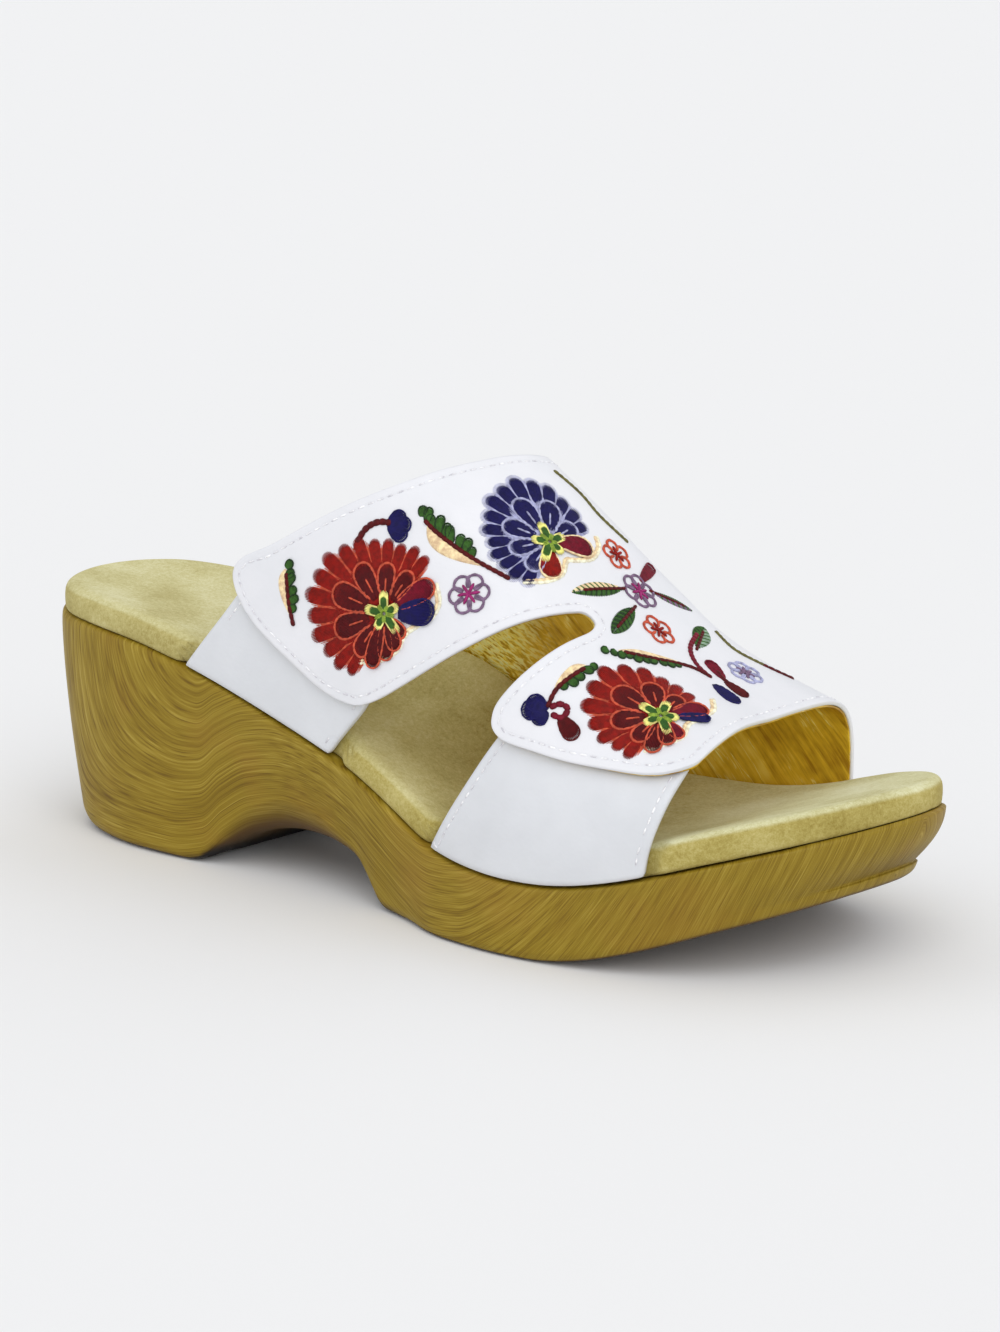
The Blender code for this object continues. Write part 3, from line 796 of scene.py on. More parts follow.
def lay_gold_lining():
    """Crinkled lining glued inside the upper, a little short of its cut edge."""
    lining = start_from("upper", "upper_gold_lining")
    body = bmesh.new()
    body.from_mesh(lining.data)
    inner = set(leather_sides(body)[1])
    bmesh.ops.delete(body, geom=[face for face in body.faces if face not in inner], context="FACES")
    pulls = {}
    for vert in body.verts:
        if vert.is_boundary:
            inside = [e.other_vert(vert).co for e in vert.link_edges if not e.is_boundary]
            if inside:
                pull = sum(inside, Vector()) / len(inside) - vert.co
                pulls[vert] = pull.normalized() * min(LINING_SHORT, pull.length / 2)
    body.normal_update()
    sink = {vert: vert.normal * LINING_SUNK for vert in body.verts}
    for vert in body.verts:
        vert.co += pulls.get(vert, Vector()) - sink[vert]
    body.to_mesh(lining.data)
    body.free()
    smooth_body(lining, LINING_SMOOTHING)
    press_creases(lining)
    places, normals = vertex_places(lining), vertex_normals(lining)
    along = places[:, 0] * math.cos(STREAK_LEAN) - places[:, 2] * math.sin(STREAK_LEAN)
    across = places[:, 0] * math.sin(STREAK_LEAN) + places[:, 2] * math.cos(STREAK_LEAN)
    flows = np.stack([along, places[:, 1], across], axis=1) * CRINKLE_COUNTS
    crinkle = np.array([noise.ridged_multi_fractal(Vector(flow), *CRINKLE_NOISE) for flow in flows])
    crinkle = np.clip((crinkle - crinkle.mean()) / crinkle.std(), *CRINKLE_LIMITS)
    set_places(lining, places + normals * (crinkle * LINING_CRINKLE)[:, None])
    work_on(lining)
    shell = lining.modifiers.new("Lining thickness", "SOLIDIFY")
    shell.thickness = LINING_THICKNESS
    shell.offset = -1.0
    bpy.ops.object.modifier_apply(modifier=shell.name)
    thinning = lining.modifiers.new("Fewer triangles", "DECIMATE")
    thinning.ratio = LINING_KEPT
    bpy.ops.object.modifier_apply(modifier=thinning.name)
    # Paints where the lining takes painted light: the lighter gold and the painted flecks
    x = vertex_places(lining)[:, 0] / MM
    paint_value(lining, "crumpled_painted_light", 1 - ease(*PAINTED_LIGHT_ENDS, x))
    finish_piece(lining, gold_foil())


# Thread


def surface_of(piece):
    return BVHTree.FromObject(piece, bpy.context.evaluated_depsgraph_get())


class SewingPlace:
    """A spot on the leather: points in millimetres along and up from it land on the surface."""

    def __init__(self, leather, spot):
        self.leather = leather
        self.spot, self.normal = leather.find_nearest(Vector(spot) * MM)[:2]
        self.along = (Vector((1, 0, 0)) - self.normal * self.normal.x).normalized()
        self.up = self.normal.cross(self.along)

    def local(self, spot):
        away = (Vector(spot) * MM - self.spot) / MM
        return np.array((away.dot(self.along), away.dot(self.up)))

    def land(self, point):
        over = self.spot + (self.along * float(point[0]) + self.up * float(point[1])) * MM
        hit, normal = self.leather.ray_cast(over + self.normal * SEWING_REACH, -self.normal)[:2]
        if hit is None:
            hit, normal = self.leather.find_nearest(over)[:2]
        return hit, normal


strands = {name: [] for name, *colour in THREADS}


def lay_strand(place, thread, path, width=STRAND_WIDTH, height=STRAND_HEIGHT, lift=0.0):
    """One thread along five points of a sewing place."""
    landed = [place.land(point) for point in path]
    points = np.array([hit for hit, normal in landed])
    normals = np.array([normal for hit, normal in landed])
    strands[thread].append((points, normals, width * MM, height * MM, lift * MM))


def spread_stations(path_at):
    return [path_at(share) for share, thickness in STITCH_FORM]


def lay_line(place, thread, points, width, height=LINE_HEIGHT, lift=0.0, stitch=LINE_STITCH):
    """Stem stitches, end over end, along a line."""
    points = np.array(points, float)
    lengths = np.append(0, np.cumsum(np.linalg.norm(np.diff(points, axis=0), axis=1)))
    count = max(1, round(lengths[-1] / stitch))
    for i in range(count):
        start = max(0.0, (i - STITCH_OVERLAP) * lengths[-1] / count)
        end = min(lengths[-1], (i + 1 + STITCH_OVERLAP) * lengths[-1] / count)

        def along(share):
            at = start + (end - start) * share
            return np.array([np.interp(at, lengths, points[:, k]) for k in (0, 1)])

        lay_strand(place, thread, spread_stations(along), width, height, lift)


def bent_line(points, count=12):
    """Smooth line through a few points, with that many steps between two of them."""
    points = [np.array(point, float) for point in points]
    ends = [2 * points[0] - points[1], *points, 2 * points[-1] - points[-2]]
    line = []
    for before, start, end, after in zip(ends, ends[1:], ends[2:], ends[3:]):
        for s in np.linspace(0, 1, count, endpoint=False):
            curve = (2 * before - 5 * start + 4 * end - after) * s**2
            curve = curve + (3 * start - before - 3 * end + after) * s**3
            line.append(start + 0.5 * ((end - before) * s + curve))
    line.append(points[-1])
    return np.array(line)


def direction(angle):
    return np.array((math.cos(math.radians(angle)), math.sin(math.radians(angle))))


# Form of a petal: how much its tip is rounded at most and where it is widest, as shares of its length,
# where its outline starts, points on each side and round the tip, and half the tip's turn in radians
TIP_ROUNDED = 0.6
WIDEST_AT = 0.68
OUTLINE_STARTS = 0.12
SIDE_POINTS = 6
TIP_POINTS = 9
TIP_TURN = 1.3


class Petal:
    """A drop with a narrow base and a round tip."""

    def __init__(self, base, tip, width, pinch):
        self.base = np.array(base, float)
        axis = np.array(tip, float) - self.base
        self.length = float(np.linalg.norm(axis))
        self.axis = axis / self.length
        self.side = np.array((-self.axis[1], self.axis[0]))
        self.width = width
        self.pinch = pinch

    def at(self, across, share):
        round_off = (1 - math.sqrt(max(0.0, 1 - across * across))) * self.width / 2 / self.length
        reach = share * (1 - min(round_off, TIP_ROUNDED))
        swell = self.pinch + (1 - self.pinch) * math.sin(min(reach / WIDEST_AT, 1.0) * math.pi / 2)
        return self.base + self.axis * self.length * reach + self.side * across * swell * self.width / 2

    def fill(self, place, thread, lift):
        count = max(2, round(self.width / STRAND_PITCH))
        for i in range(count):
            across = 2 * (i + 0.5) / count - 1
            path = spread_stations(lambda share: self.at(across, share))
            lay_strand(place, thread, path, lift=lift)

    def outline(self, place, thread, width, lift):
        left = [self.at(-1, share) for share in np.linspace(OUTLINE_STARTS, 1, SIDE_POINTS)]
        tip = [self.at(across, 1) for across in np.sin(np.linspace(-TIP_TURN, TIP_TURN, TIP_POINTS))]
        right = [self.at(1, share) for share in np.linspace(1, OUTLINE_STARTS, SIDE_POINTS)]
        lay_line(place, thread, left + tip + right, width, lift=lift)


# Fan flowers. Columns: heart (millimetres), reach, extra reach, its angle, first and last angle, palette
FAN_FLOWERS = (
    ((-2.6, -34.7, 76.7), 18.2, 7.2, 175, 54, 246, "red"),
    ((29.5, -11.4, 94.4), 16.0, 5.4, 146, 70, 288, "blue"),
    ((70.4, -26.8, 59.8), 14.3, 6.2, 172, 74, 272, "red"),
)

# Odd petals of each fan flower. Columns: angle, start and end share of its reach, width, thread, outline
ODD_PETALS = (
    (
        (324, 0.12, 0.46, 3.4, "dark_red", "coral"),
        (302, 0.12, 0.54, 4.2, "dark_red", "coral"),
        (281, 0.12, 0.63, 4.4, "dark_red", "coral"),
        (260, 0.12, 0.76, 4.6, "dark_red", "coral"),
        (36, 0.20, 0.83, 5.6, "crimson", "coral"),
        (9, 0.22, 0.78, 6.4, "navy", "navy"),
    ),
    (
        (306, 0.16, 0.68, 5.8, "brick_red", "peach"),
        (47, 0.16, 0.80, 6.2, "crimson", "peach"),
    ),
    (
        (334, 0.12, 0.58, 3.6, "crimson", "coral"),
        (310, 0.12, 0.64, 3.8, "dark_red", "coral"),
        (287, 0.12, 0.78, 4.0, "dark_red", "coral"),
        (34, 0.28, 0.83, 2.8, "navy", "navy"),
        (54, 0.22, 0.88, 5.4, "crimson", "coral"),
    ),
)

# Pale line round the open side of each fan flower (millimetres)
HALOS = (
    (
        (-9.6, -36.3, 63.4), (-2.6, -36.9, 65.0), (2.6, -36.9, 68.2), (4.4, -36.1, 72.3),
        (8.0, -35.5, 75.2), (11.5, -34.7, 77.8), (12.5, -33.1, 81.3), (10.2, -31.5, 85.7),
    ),
    (
        (29.9, -24.2, 86.5), (34.0, -19.7, 86.5), (35.6, -14.5, 87.5), (34.5, -10.3, 90.1),
        (35.4, -7.6, 89.8), (36.7, -1.9, 89.5), (35.4, 3.6, 91.4), (33.3, 5.6, 93.9),
    ),
    (
        (71.3, -36.4, 53.5), (74.9, -32.9, 55.0), (77.8, -28.6, 56.4), (77.0, -24.2, 58.5),
        (78.0, -20.8, 59.2), (78.3, -14.3, 60.0), (75.0, -8.8, 61.4),
    ),
)

# Threads of a fan flower: bed, outer petals, field of the inner drops, drops; then the share of its reach
# that its bed and its outer petals take
PALETTES = {
    "red": ("coral", "brick_red", "brick_red", "dark_red", 0.95, 1.0),
    "blue": ("lavender", "navy", "lavender", "navy", 1.0, 0.955),
}

# Petals and inner drops: pitches in millimetres, shares of width or reach, degrees past the fan's two ends
PETAL_PITCH = 4.1
PETAL_PINCH = 0.42
SHORT_TIP = 0.97
DROP_PITCH = 5.9
DROP_REACH = 0.58
DROP_BEYOND = 8

# Layers of a fan flower. Columns: start and end share of its reach, share of the pitch, lift (millimetres)
FAN_BED = (0.10, 1.0, 1.04, 0.0)
FAN_PETAL = (0.54, 1.0, 0.70, 0.16)
DROP_FIELD = (0.14, 0.74, 1.0, 0.18)
DROP = (0.20, 0.67, 0.72, 0.30)

# Lines on a fan flower: width and lift (millimetres), and where a drop's vein runs as shares of the reach
DROP_OUTLINE = (FINE_LINE * 1.8, 0.28)
VEIN_RUNS = (0.28, 0.47)
VEIN_WIDTH = FINE_LINE * 1.3
VEIN_LIFT = 0.46
ODD_OUTLINE = FINE_LINE * 1.5
ODD_LIFTS = (0.36, 0.50)

# Rows of the pale line. Columns: thread, distance from the line; then their width (millimetres)
HALO_ROWS = (("peach", -1.0), ("cream", -0.2))
HALO_WIDTH = 1.1

# Heart of a fan flower. Columns: thread, ray length, ray width, turn in degrees, lift
STAR_RAYS = (
    ("pale_yellow", 6.2, 2.6, 0, 0.56),
    ("leaf_green", 4.7, 1.7, 0, 0.70),
    ("lime_green", 3.0, 1.2, 36, 0.76),
)

# Its rays in turn as shares of the ray length, where they start (millimetres), and width of their foot
STAR_SHARES = (1.0, 0.78, 1.08, 0.72, 0.92)
STAR_MIDDLE = 0.4
STAR_PINCH = 0.8


def embroider_fan_flower(leather, flower, odd_petals, halo):
    """A fan of petals and a ring of drops on a satin bed, round a green star and open on one side."""
    heart, reach, extra, far, first, last, palette = flower
    place = SewingPlace(leather, heart)
    bed, petal_thread, field, drop_thread, bed_end, petal_end = PALETTES[palette]

    def ray_at(angle):
        return direction(angle) * reach_at(angle)

    def reach_at(angle):
        return reach + extra * max(0.0, math.cos(math.radians(angle - far))) ** 2

    def petal_at(angle, start, end, width):
        return Petal(ray_at(angle) * start, ray_at(angle) * end, width, PETAL_PINCH)

    def sew_layer(layer, angle, pitch, thread, tip=1.0):
        start, end, share, lift = layer
        petal = petal_at(angle, start, end * tip, pitch * share)
        petal.fill(place, thread, lift)
        return petal

    span = last - first
    count = round(math.radians(span) * reach / PETAL_PITCH)
    for i in range(count):
        angle = first + span * (i + 0.5) / count
        pitch = reach_at(angle) * math.radians(span / count)
        tip = 1.0 if i % 2 else SHORT_TIP
        sew_layer(FAN_BED, angle, pitch, bed, bed_end * tip)
        sew_layer(FAN_PETAL, angle, pitch, petal_thread, petal_end * tip)
    span += 2 * DROP_BEYOND
    count = round(math.radians(span) * reach * DROP_REACH / DROP_PITCH)
    for i in range(count):
        angle = first - DROP_BEYOND + span * (i + 0.5) / count
        pitch = reach_at(angle) * DROP_REACH * math.radians(span / count)
        sew_layer(DROP_FIELD, angle, pitch, field)
        sew_layer(DROP, angle, pitch, drop_thread).outline(place, bed, *DROP_OUTLINE)
        lay_line(place, bed, [ray_at(angle) * share for share in VEIN_RUNS], VEIN_WIDTH, lift=VEIN_LIFT)
    for i, (angle, start, end, width, thread, outline) in enumerate(odd_petals):
        petal = petal_at(angle, start, end, width)
        petal.fill(place, thread, ODD_LIFTS[i % 2])
        petal.outline(place, outline, ODD_OUTLINE, ODD_LIFTS[i % 2])
    line = bent_line([place.local(point) for point in halo], 4)
    for thread, away in HALO_ROWS:
        lay_line(place, thread, [point * (1 + away / np.linalg.norm(point)) for point in line], HALO_WIDTH)
    for thread, size, width, turn, lift in STAR_RAYS:
        for i, share in enumerate(STAR_SHARES):
            ray = direction(far + turn + 360 * i / len(STAR_SHARES))
            Petal(ray * STAR_MIDDLE, ray * size * share, width, STAR_PINCH).fill(place, thread, lift)


# Leafy sprigs. Columns: stem points (millimetres), leaf side (1 is left of the stem), leaflet length,
# bare share of the stem. Then how much of the stem is sewn, its width and its lift
SPRIGS = (
    (((-30.7, -33.8, 69.6), (-32.7, -33.1, 75.9), (-34.5, -31.9, 85.7)), -1, 3.3, 0.22),
    (((27.1, -25.3, 87.5), (16.5, -26.6, 91.9), (6.3, -26.2, 96.8), (0.0, -25.2, 101.1)), -1, 4.4, 0.36),
    (((45.9, -38.0, 60.9), (46.4, -34.9, 64.7), (48.4, -30.9, 67.6), (51.4, -24.4, 70.2)), -1, 2.8, 0.35),
    (((69.1, 1.1, 63.7), (64.2, -1.3, 66.2), (58.2, -10.5, 69.4), (50.2, -21.0, 72.8)), 1, 2.7, 0.30),
)
SPRIG_STEM_SHARE = 0.86
SPRIG_STEM_WIDTH = 1.35
SPRIG_STEM_LIFT = 0.1

# Leaflets, in millimetres, with their sizes as shares of the leaflet length and their angles in degrees
LEAFLET_PITCH = 2.1
LEAFLET_WIDTH = 2.2
LEAFLET_PINCH = 0.5
LEAFLET_LEAST = 0.72
LEAFLET_SWELL = 0.42
LEAFLET_SIZES = (0.84, 1.0)
LEAFLET_SPREAD = 62
LEAFLET_CLOSES = 30
LEAFLET_TURNS = (-10, 8, 8)
LEAFLET_LIFTS = (0.0, 0.05)
LEAFLET_OUTLINE = 0.06

# Shading beside a sprig's stem: pitch and width of its strands, where it starts and how long it runs as
# shares of the stem, its angle in degrees, its reach as a share of the leaflet length, and how that swells
SHADE_PITCH = 0.42
SHADE_WIDTH = 0.54
SHADE_STARTS = 0.7
SHADE_RUNS = 0.9
SHADE_ANGLE = 48
SHADE_REACH = 1.1
SWELL_STARTS = 0.06
SWELL_RUNS = 0.9

# Single leaves with a dark rib. Columns: root, tip (millimetres), width, thread on the shaded side
LEAVES = (
    ((43.5, 0.9, 82.8), (39.0, -15.7, 84.2), 4.4, "peach"),
    ((46.3, 12.1, 80.2), (51.5, 22.7, 74.1), 3.0, "mauve"),
    ((47.7, -0.3, 78.6), (49.6, -14.4, 75.0), 4.8, "deep_green"),
    ((60.4, 9.3, 68.4), (56.2, 20.6, 70.8), 5.4, "sage"),
)

# Strands of a leaf: pitch and width in millimetres, slant, and the lean and fullness of the leaf's form.
# Then its rib: millimetres past the root, share of the length, width and lift
LEAF_PITCH = 0.6
LEAF_STRAND = 0.6
LEAF_SLANT = 0.7
LEAF_FORM = (0.8, 0.7)
RIB_BEYOND = 1.5
RIB_SHARE = 0.8
RIB_WIDTH = 1.0
RIB_LIFT = 0.15

# Stems alone. Columns: points (millimetres), thread, width
STEMS = (
    (
        ((-14.2, -30.3, 92.2), (-12.3, -29.2, 95.8), (-9.3, -28.3, 97.7), (-5.5, -27.8, 97.9)),
        "dark_red",
        2.0,
    ),
    (((18.4, 9.2, 108.4), (24.3, 12.3, 102.7), (29.8, 12.9, 97.4), (35.7, 17.1, 90.5)), "olive", 1.3),
    (((69.0, 0.8, 63.7), (64.0, 2.2, 66.3), (59.8, 6.8, 68.8), (57.2, 15.0, 70.4)), "crimson", 1.6),
    (((67.8, 5.7, 64.4), (70.8, 4.2, 62.8), (73.4, 4.4, 61.6)), "dark_red", 1.6),
    (((57.2, 24.6, 69.4), (64.0, 22.7, 65.8), (70.7, 26.2, 62.0)), "olive", 1.3),
    (((70.0, 25.8, 62.4), (73.5, 28.4, 60.4), (76.6, 31.0, 58.5)), "dark_red", 1.5),
    (
        (
            (46.5, -37.8, 60.9), (48.4, -36.4, 61.9), (50.5, -36.1, 60.9),
            (49.9, -37.9, 59.0), (47.2, -38.4, 59.7),
        ),
        "crimson",
        1.8,
    ),
)

# Buds. Columns: base, tip (millimetres), width, thread. Then the share of the width at their foot, their
# lift, and the width and lift of their outline
BUDS = (
    ((-6.3, -28.1, 97.6), (-2.7, -26.3, 100.3), 4.0, "navy"),
    ((-6.3, -28.1, 97.6), (-0.9, -28.7, 94.5), 4.0, "navy"),
    ((-6.3, -28.1, 97.6), (-0.3, -27.3, 97.6), 4.4, "navy"),
    ((46.1, -38.4, 60.3), (41.0, -38.5, 62.6), 4.4, "navy"),
    ((46.1, -38.4, 60.3), (43.9, -40.6, 57.4), 4.2, "navy"),
    ((46.1, -38.4, 60.3), (40.1, -40.0, 60.2), 5.2, "navy"),
    ((49.4, -37.9, 59.2), (54.8, -39.3, 54.9), 4.2, "dark_red"),
    ((70.8, 4.2, 62.8), (64.5, 7.5, 66.1), 3.6, "crimson"),
    ((71.4, 3.6, 62.5), (77.8, 3.4, 59.7), 3.6, "dark_red"),
    ((71.1, -1.4, 62.9), (78.7, -3.2, 59.6), 4.8, "navy"),
    ((43.6, 10.2, 83.0), (40.6, 20.6, 84.4), 3.0, "crimson"),
)
BUD_PINCH = 0.35
BUD_LIFT = 0.08
BUD_OUTLINE = (0.5, 0.05)

# Small blossoms. Columns: heart (millimetres), radius, petals, outline, heart thread. Then their turn in
# degrees, shares of the radius or width for their petals and rays, and widths and lifts of their lines
BLOSSOMS = (
    ((19.1, -31.0, 83.8), 5.1, 6, "mauve", "magenta"),
    ((37.6, 7.9, 89.2), 4.4, 5, "coral", "brick_red"),
    ((45.3, 6.8, 81.3), 5.2, 6, "mauve", "magenta"),
    ((53.5, 1.6, 73.2), 4.6, 5, "coral", "brick_red"),
    ((71.3, 14.4, 62.6), 4.6, 6, "lavender", "mauve"),
)
BLOSSOM_TURN = 20
BLOSSOM_STARTS = 0.2
BLOSSOM_PETAL = 0.84
BLOSSOM_PINCH = 0.35
BLOSSOM_OUTLINE = (0.85, 0.12)
BLOSSOM_STAR = 0.56
BLOSSOM_RAY_WIDTH = 0.9
BLOSSOM_RAY_LIFT = 0.2


def middle_of(points):
    return np.mean(np.array(points, float), axis=0)


def embroider_sprig(leather, points, side, leaflet, bare):
    """Dark stem with round leaflets on one side and peach shading on the other."""
    place = SewingPlace(leather, points[len(points) // 2])
    stem = bent_line([place.local(point) for point in points], 20)
    ahead = np.gradient(stem, axis=0)
    headings = np.degrees(np.unwrap(np.arctan2(ahead[:, 1], ahead[:, 0])))
    lengths = np.append(0, np.cumsum(np.linalg.norm(np.diff(stem, axis=0), axis=1)))

    def at(share):
        spot = np.array([np.interp(share * lengths[-1], lengths, stem[:, k]) for k in (0, 1)])
        return spot, np.interp(share * lengths[-1], lengths, headings)

    leafy = lengths[-1] * (1 - bare)
    for i in range(round(leafy / SHADE_PITCH)):
        share = i * SHADE_PITCH / leafy
        spot, heading = at(bare * SHADE_STARTS + share * SHADE_RUNS * (1 - bare))
        swell = math.sin(math.pi * (SWELL_STARTS + SWELL_RUNS * share))
        reach = direction(heading - side * SHADE_ANGLE) * leaflet * SHADE_REACH * swell
        lay_strand(place, "peach", spread_stations(lambda part: spot + reach * part), width=SHADE_WIDTH)
    count = round(leafy / LEAFLET_PITCH)
    for i in range(count):
        spot, heading = at(bare + (1 - bare) * i / count)
        swell = LEAFLET_LEAST + LEAFLET_SWELL * math.sin(math.pi * (i + 0.5) / count)
        size = leaflet * swell * LEAFLET_SIZES[i % 2]
        spread = LEAFLET_SPREAD - LEAFLET_CLOSES * i / count + LEAFLET_TURNS[i % 3]
        tip = spot + direction(heading + side * spread) * size
        leaf = Petal(spot, tip, LEAFLET_WIDTH, LEAFLET_PINCH)
        lift = LEAFLET_LIFTS[i % 2]
        leaf.fill(place, "leaf_green", lift)
        leaf.outline(place, "deep_green", FINE_LINE, LEAFLET_OUTLINE + lift)
    stem = stem[: int(len(stem) * SPRIG_STEM_SHARE)]
    lay_line(place, "dark_red", stem, SPRIG_STEM_WIDTH, STEM_HEIGHT, SPRIG_STEM_LIFT)


def embroider_leaf(leather, root, tip, width, shade):
    """Slanted satin strands on both sides of a dark rib."""
    place = SewingPlace(leather, middle_of((root, tip)))
    start, end = place.local(root), place.local(tip)
    long = np.linalg.norm(end - start)
    axis = (end - start) / long
    side = np.array((-axis[1], axis[0]))
    lean, fullness = LEAF_FORM
    count = round(long / LEAF_PITCH)
    for i in range(count):
        share = (i + 0.5) / count
        half = width / 2 * math.sin(math.pi * share**lean) ** fullness
        rib = start + axis * long * share
        lit, shaded = ("leaf_green", shade) if i % 3 else ("deep_green", "leaf_green")
        for way, thread in ((1, lit), (-1, shaded)):
            reach = axis * half * LEAF_SLANT + side * way * half
            lay_strand(place, thread, spread_stations(lambda part: rib + reach * part), width=LEAF_STRAND)
    rib = [start - axis * RIB_BEYOND, start + axis * long * RIB_SHARE]
    lay_line(place, "dark_red", rib, RIB_WIDTH, lift=RIB_LIFT)


def embroider_bud(leather, base, tip, width, thread):
    place = SewingPlace(leather, middle_of((base, tip)))
    petal = Petal(place.local(base), place.local(tip), width, BUD_PINCH)
    petal.fill(place, thread, BUD_LIFT)
    petal.outline(place, thread, *BUD_OUTLINE)


def embroider_blossom(leather, heart, radius, count, outline, centre):
    """Open petals in outline, with a star of short stitches in the middle."""
    place = SewingPlace(leather, heart)
    rays = [direction(360 * i / count + BLOSSOM_TURN) * radius for i in range(count)]
    for ray in rays:
        petal = Petal(ray * BLOSSOM_STARTS, ray, radius * BLOSSOM_PETAL, BLOSSOM_PINCH)
        petal.outline(place, outline, *BLOSSOM_OUTLINE)
    for ray in rays:
        star = [(0, 0), ray * BLOSSOM_STAR]
        lay_line(place, centre, star, BLOSSOM_RAY_WIDTH, lift=BLOSSOM_RAY_LIFT, stitch=radius)


def embroider_upper(leather):
    for flower, odd_petals, halo in zip(FAN_FLOWERS, ODD_PETALS, HALOS):
        embroider_fan_flower(leather, flower, odd_petals, halo)
    for sprig in SPRIGS:
        embroider_sprig(leather, *sprig)
    for leaf in LEAVES:
        embroider_leaf(leather, *leaf)
    for points, thread, width in STEMS:
        place = SewingPlace(leather, points[1])
        bends = bent_line([place.local(point) for point in points])
        lay_line(place, thread, bends, width, STEM_HEIGHT)
    for bud in BUDS:
        embroider_bud(leather, *bud)
    for blossom in BLOSSOMS:
        embroider_blossom(leather, *blossom)


def sew_edge_seam(leather, edge, inwards, seam, covered=None):
    """A row of stitches a little inside the cut edge, left out where another piece covers it."""
    line, normals = [], []
    for point, inward in zip(edge, inwards):
        hit, normal = leather.find_nearest(Vector(point + inward * SEAM_INSET * MM))[:2]
        line.append(hit)
        normals.append(normal)
    line, normals = np.array(line), np.array(normals)
    lengths = np.append(0, np.cumsum(np.linalg.norm(np.diff(line, axis=0), axis=1))) / MM
    for i in range(int(lengths[-1] / SEAM_PITCH)):
        stations = [i * SEAM_PITCH + SEAM_STITCH * share for share, thickness in STITCH_FORM]
        if not seam[int(np.searchsorted(lengths, stations[STITCH_MIDDLE]))]:
            continue
        points = np.stack([np.interp(stations, lengths, line[:, k]) for k in range(3)], axis=1)
        ups = np.stack([np.interp(stations, lengths, normals[:, k]) for k in range(3)], axis=1)
        ups /= np.linalg.norm(ups, axis=1)[:, None]
        middle, up = points[STITCH_MIDDLE], ups[STITCH_MIDDLE]
        if covered and covered.ray_cast(Vector(middle + up * MM), Vector(up), COVER_REACH)[0]:
            continue
        strands["seam_white"].append((points, ups, SEAM_WIDTH * MM, SEAM_HEIGHT * MM, 0.0))


def model_one_stitch():
    """A short thread, thick in the middle and thin where it dips into the leather."""
    bpy.ops.object.select_all(action="DESELECT")
    bpy.ops.mesh.primitive_cylinder_add(vertices=STITCH_SIDES, radius=0.5, depth=1.0, end_fill_type="NGON")
    stitch = bpy.context.object
    bpy.ops.object.mode_set(mode="EDIT")
    bpy.ops.mesh.select_mode(type="EDGE")
    bpy.ops.mesh.select_all(action="DESELECT")
    body = bmesh.from_edit_mesh(stitch.data)
    for edge in body.edges:
        edge.select = abs(edge.verts[0].co.z - edge.verts[1].co.z) > 0.5
    bmesh.update_edit_mesh(stitch.data)
    bpy.ops.mesh.subdivide(number_cuts=len(STITCH_FORM) - 2)
    bpy.ops.object.mode_set(mode="OBJECT")
    places = vertex_places(stitch)
    rings = np.rint((places[:, 2] + 0.5) * (len(STITCH_FORM) - 1)).astype(int)
    thickness = np.array([row[1] for row in STITCH_FORM])[rings]
    across = places[:, 0] * thickness
    up = np.where(places[:, 1] > 0, places[:, 1] * 2 * thickness, -STITCH_SINKS)
    faces = [list(polygon.vertices) for polygon in stitch.data.polygons]
    bpy.data.objects.remove(stitch, do_unlink=True)
    return rings, across, up, faces


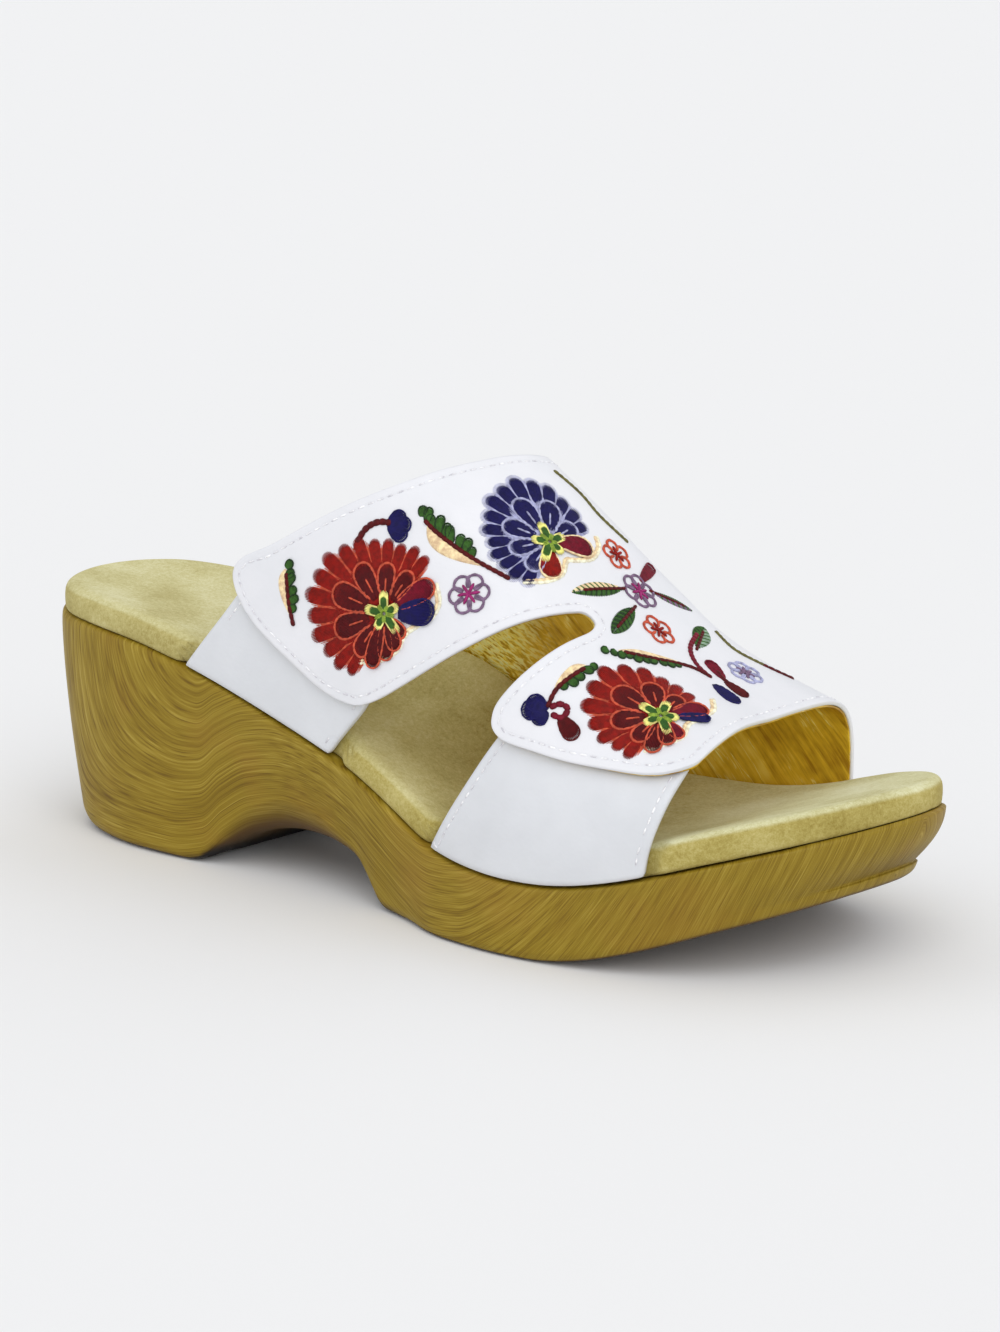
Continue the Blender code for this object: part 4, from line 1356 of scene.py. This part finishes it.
def join_threads(name, colour, stitch):
    """All strands of one colour as one mesh of copied stitches."""
    rings, across, up, faces = stitch
    points, all_faces = [], []
    for path, normals, width, height, lift in strands[name]:
        heading = np.gradient(path, axis=0)
        side = np.cross(heading, normals)
        side /= np.maximum(np.linalg.norm(side, axis=1), 1e-12)[:, None]
        offset = len(points) * len(rings)
        sideways = side[rings] * (across * width)[:, None]
        upwards = normals[rings] * (up * height + lift)[:, None]
        points.append(path[rings] + sideways + upwards)
        all_faces.extend([index + offset for index in face] for face in faces)
    mesh = bpy.data.meshes.new(name)
    mesh.from_pydata(np.concatenate(points).tolist(), [], all_faces)
    mesh.shade_smooth()
    piece = bpy.data.objects.new("embroidery_" + name if name != "seam_white" else "edge_stitches", mesh)
    bpy.context.scene.collection.objects.link(piece)
    work_on(piece)
    bpy.ops.object.mode_set(mode="EDIT")
    bpy.ops.mesh.select_all(action="SELECT")
    bpy.ops.mesh.normals_make_consistent(inside=False)
    bpy.ops.object.mode_set(mode="OBJECT")
    finish_piece(piece, thread_finish(name, colour))


# Stage


def set_stage():
    bpy.ops.object.select_all(action="DESELECT")
    bpy.ops.mesh.primitive_plane_add(size=FLOOR_SIZE, location=(0, 0, -FLOOR_DROP))
    floor = bpy.context.object
    floor.name = "studio_floor"
    material, shader = finish("pale_floor", FLOOR_COLOUR, 0.9)
    shader.inputs["Specular IOR Level"].default_value = 0.0
    floor.data.materials.append(material)
    world = bpy.data.worlds.new("studio")
    world.use_nodes = True
    sky = world.node_tree.nodes["Background"]
    sky.inputs["Color"].default_value = SKY_COLOUR
    sky.inputs["Strength"].default_value = SKY_STRENGTH
    bpy.context.scene.world = world
    for name, strength, softness, turn in LIGHTS:
        bpy.ops.object.light_add(type="SUN", rotation=[math.radians(angle) for angle in turn])
        light = bpy.context.object
        light.name = name
        light.data.energy = strength
        light.data.angle = math.radians(softness)
    bpy.context.scene.view_settings.view_transform = "Standard"


def upper_seam(point, inward):
    """All round, apart from the inner side's foot, which is glued to the sole."""
    return not (point[1] > INNER_SIDE_Y and inward[2] > FOOT_FACING)


def anchor_seam(point, inward):
    """Front and back edges only."""
    return abs(inward[2]) < END_FACING


place_camera()
mould_sole()
cover_footbed()
upper_finish = white_leather("white_leather", UPPER_WHITES)
# The straps' leather is a darker copy, as painted shade for their sideways faces
shaded_strap_finish = white_leather("strap_leather_painted_shade", SHADED_STRAP_WHITES)
upper_piece, *upper_edge = cut_leather(
    "upper", "upper_white_leather", upper_finish, upper_seam, LEATHER_SKIVED
)
lay_gold_lining()
upper_surface = surface_of(upper_piece)
embroider_upper(upper_surface)
sew_edge_seam(upper_surface, *upper_edge)
for anchor in ("instep_anchor_strap", "toe_anchor_strap"):
    strap, *strap_edge = cut_leather(
        anchor, anchor + "_leather", shaded_strap_finish, anchor_seam
    )
    sew_edge_seam(surface_of(strap), *strap_edge, covered=upper_surface)
one_stitch = model_one_stitch()
for thread, *thread_colour in THREADS:
    join_threads(thread, thread_colour, one_stitch)
set_stage()
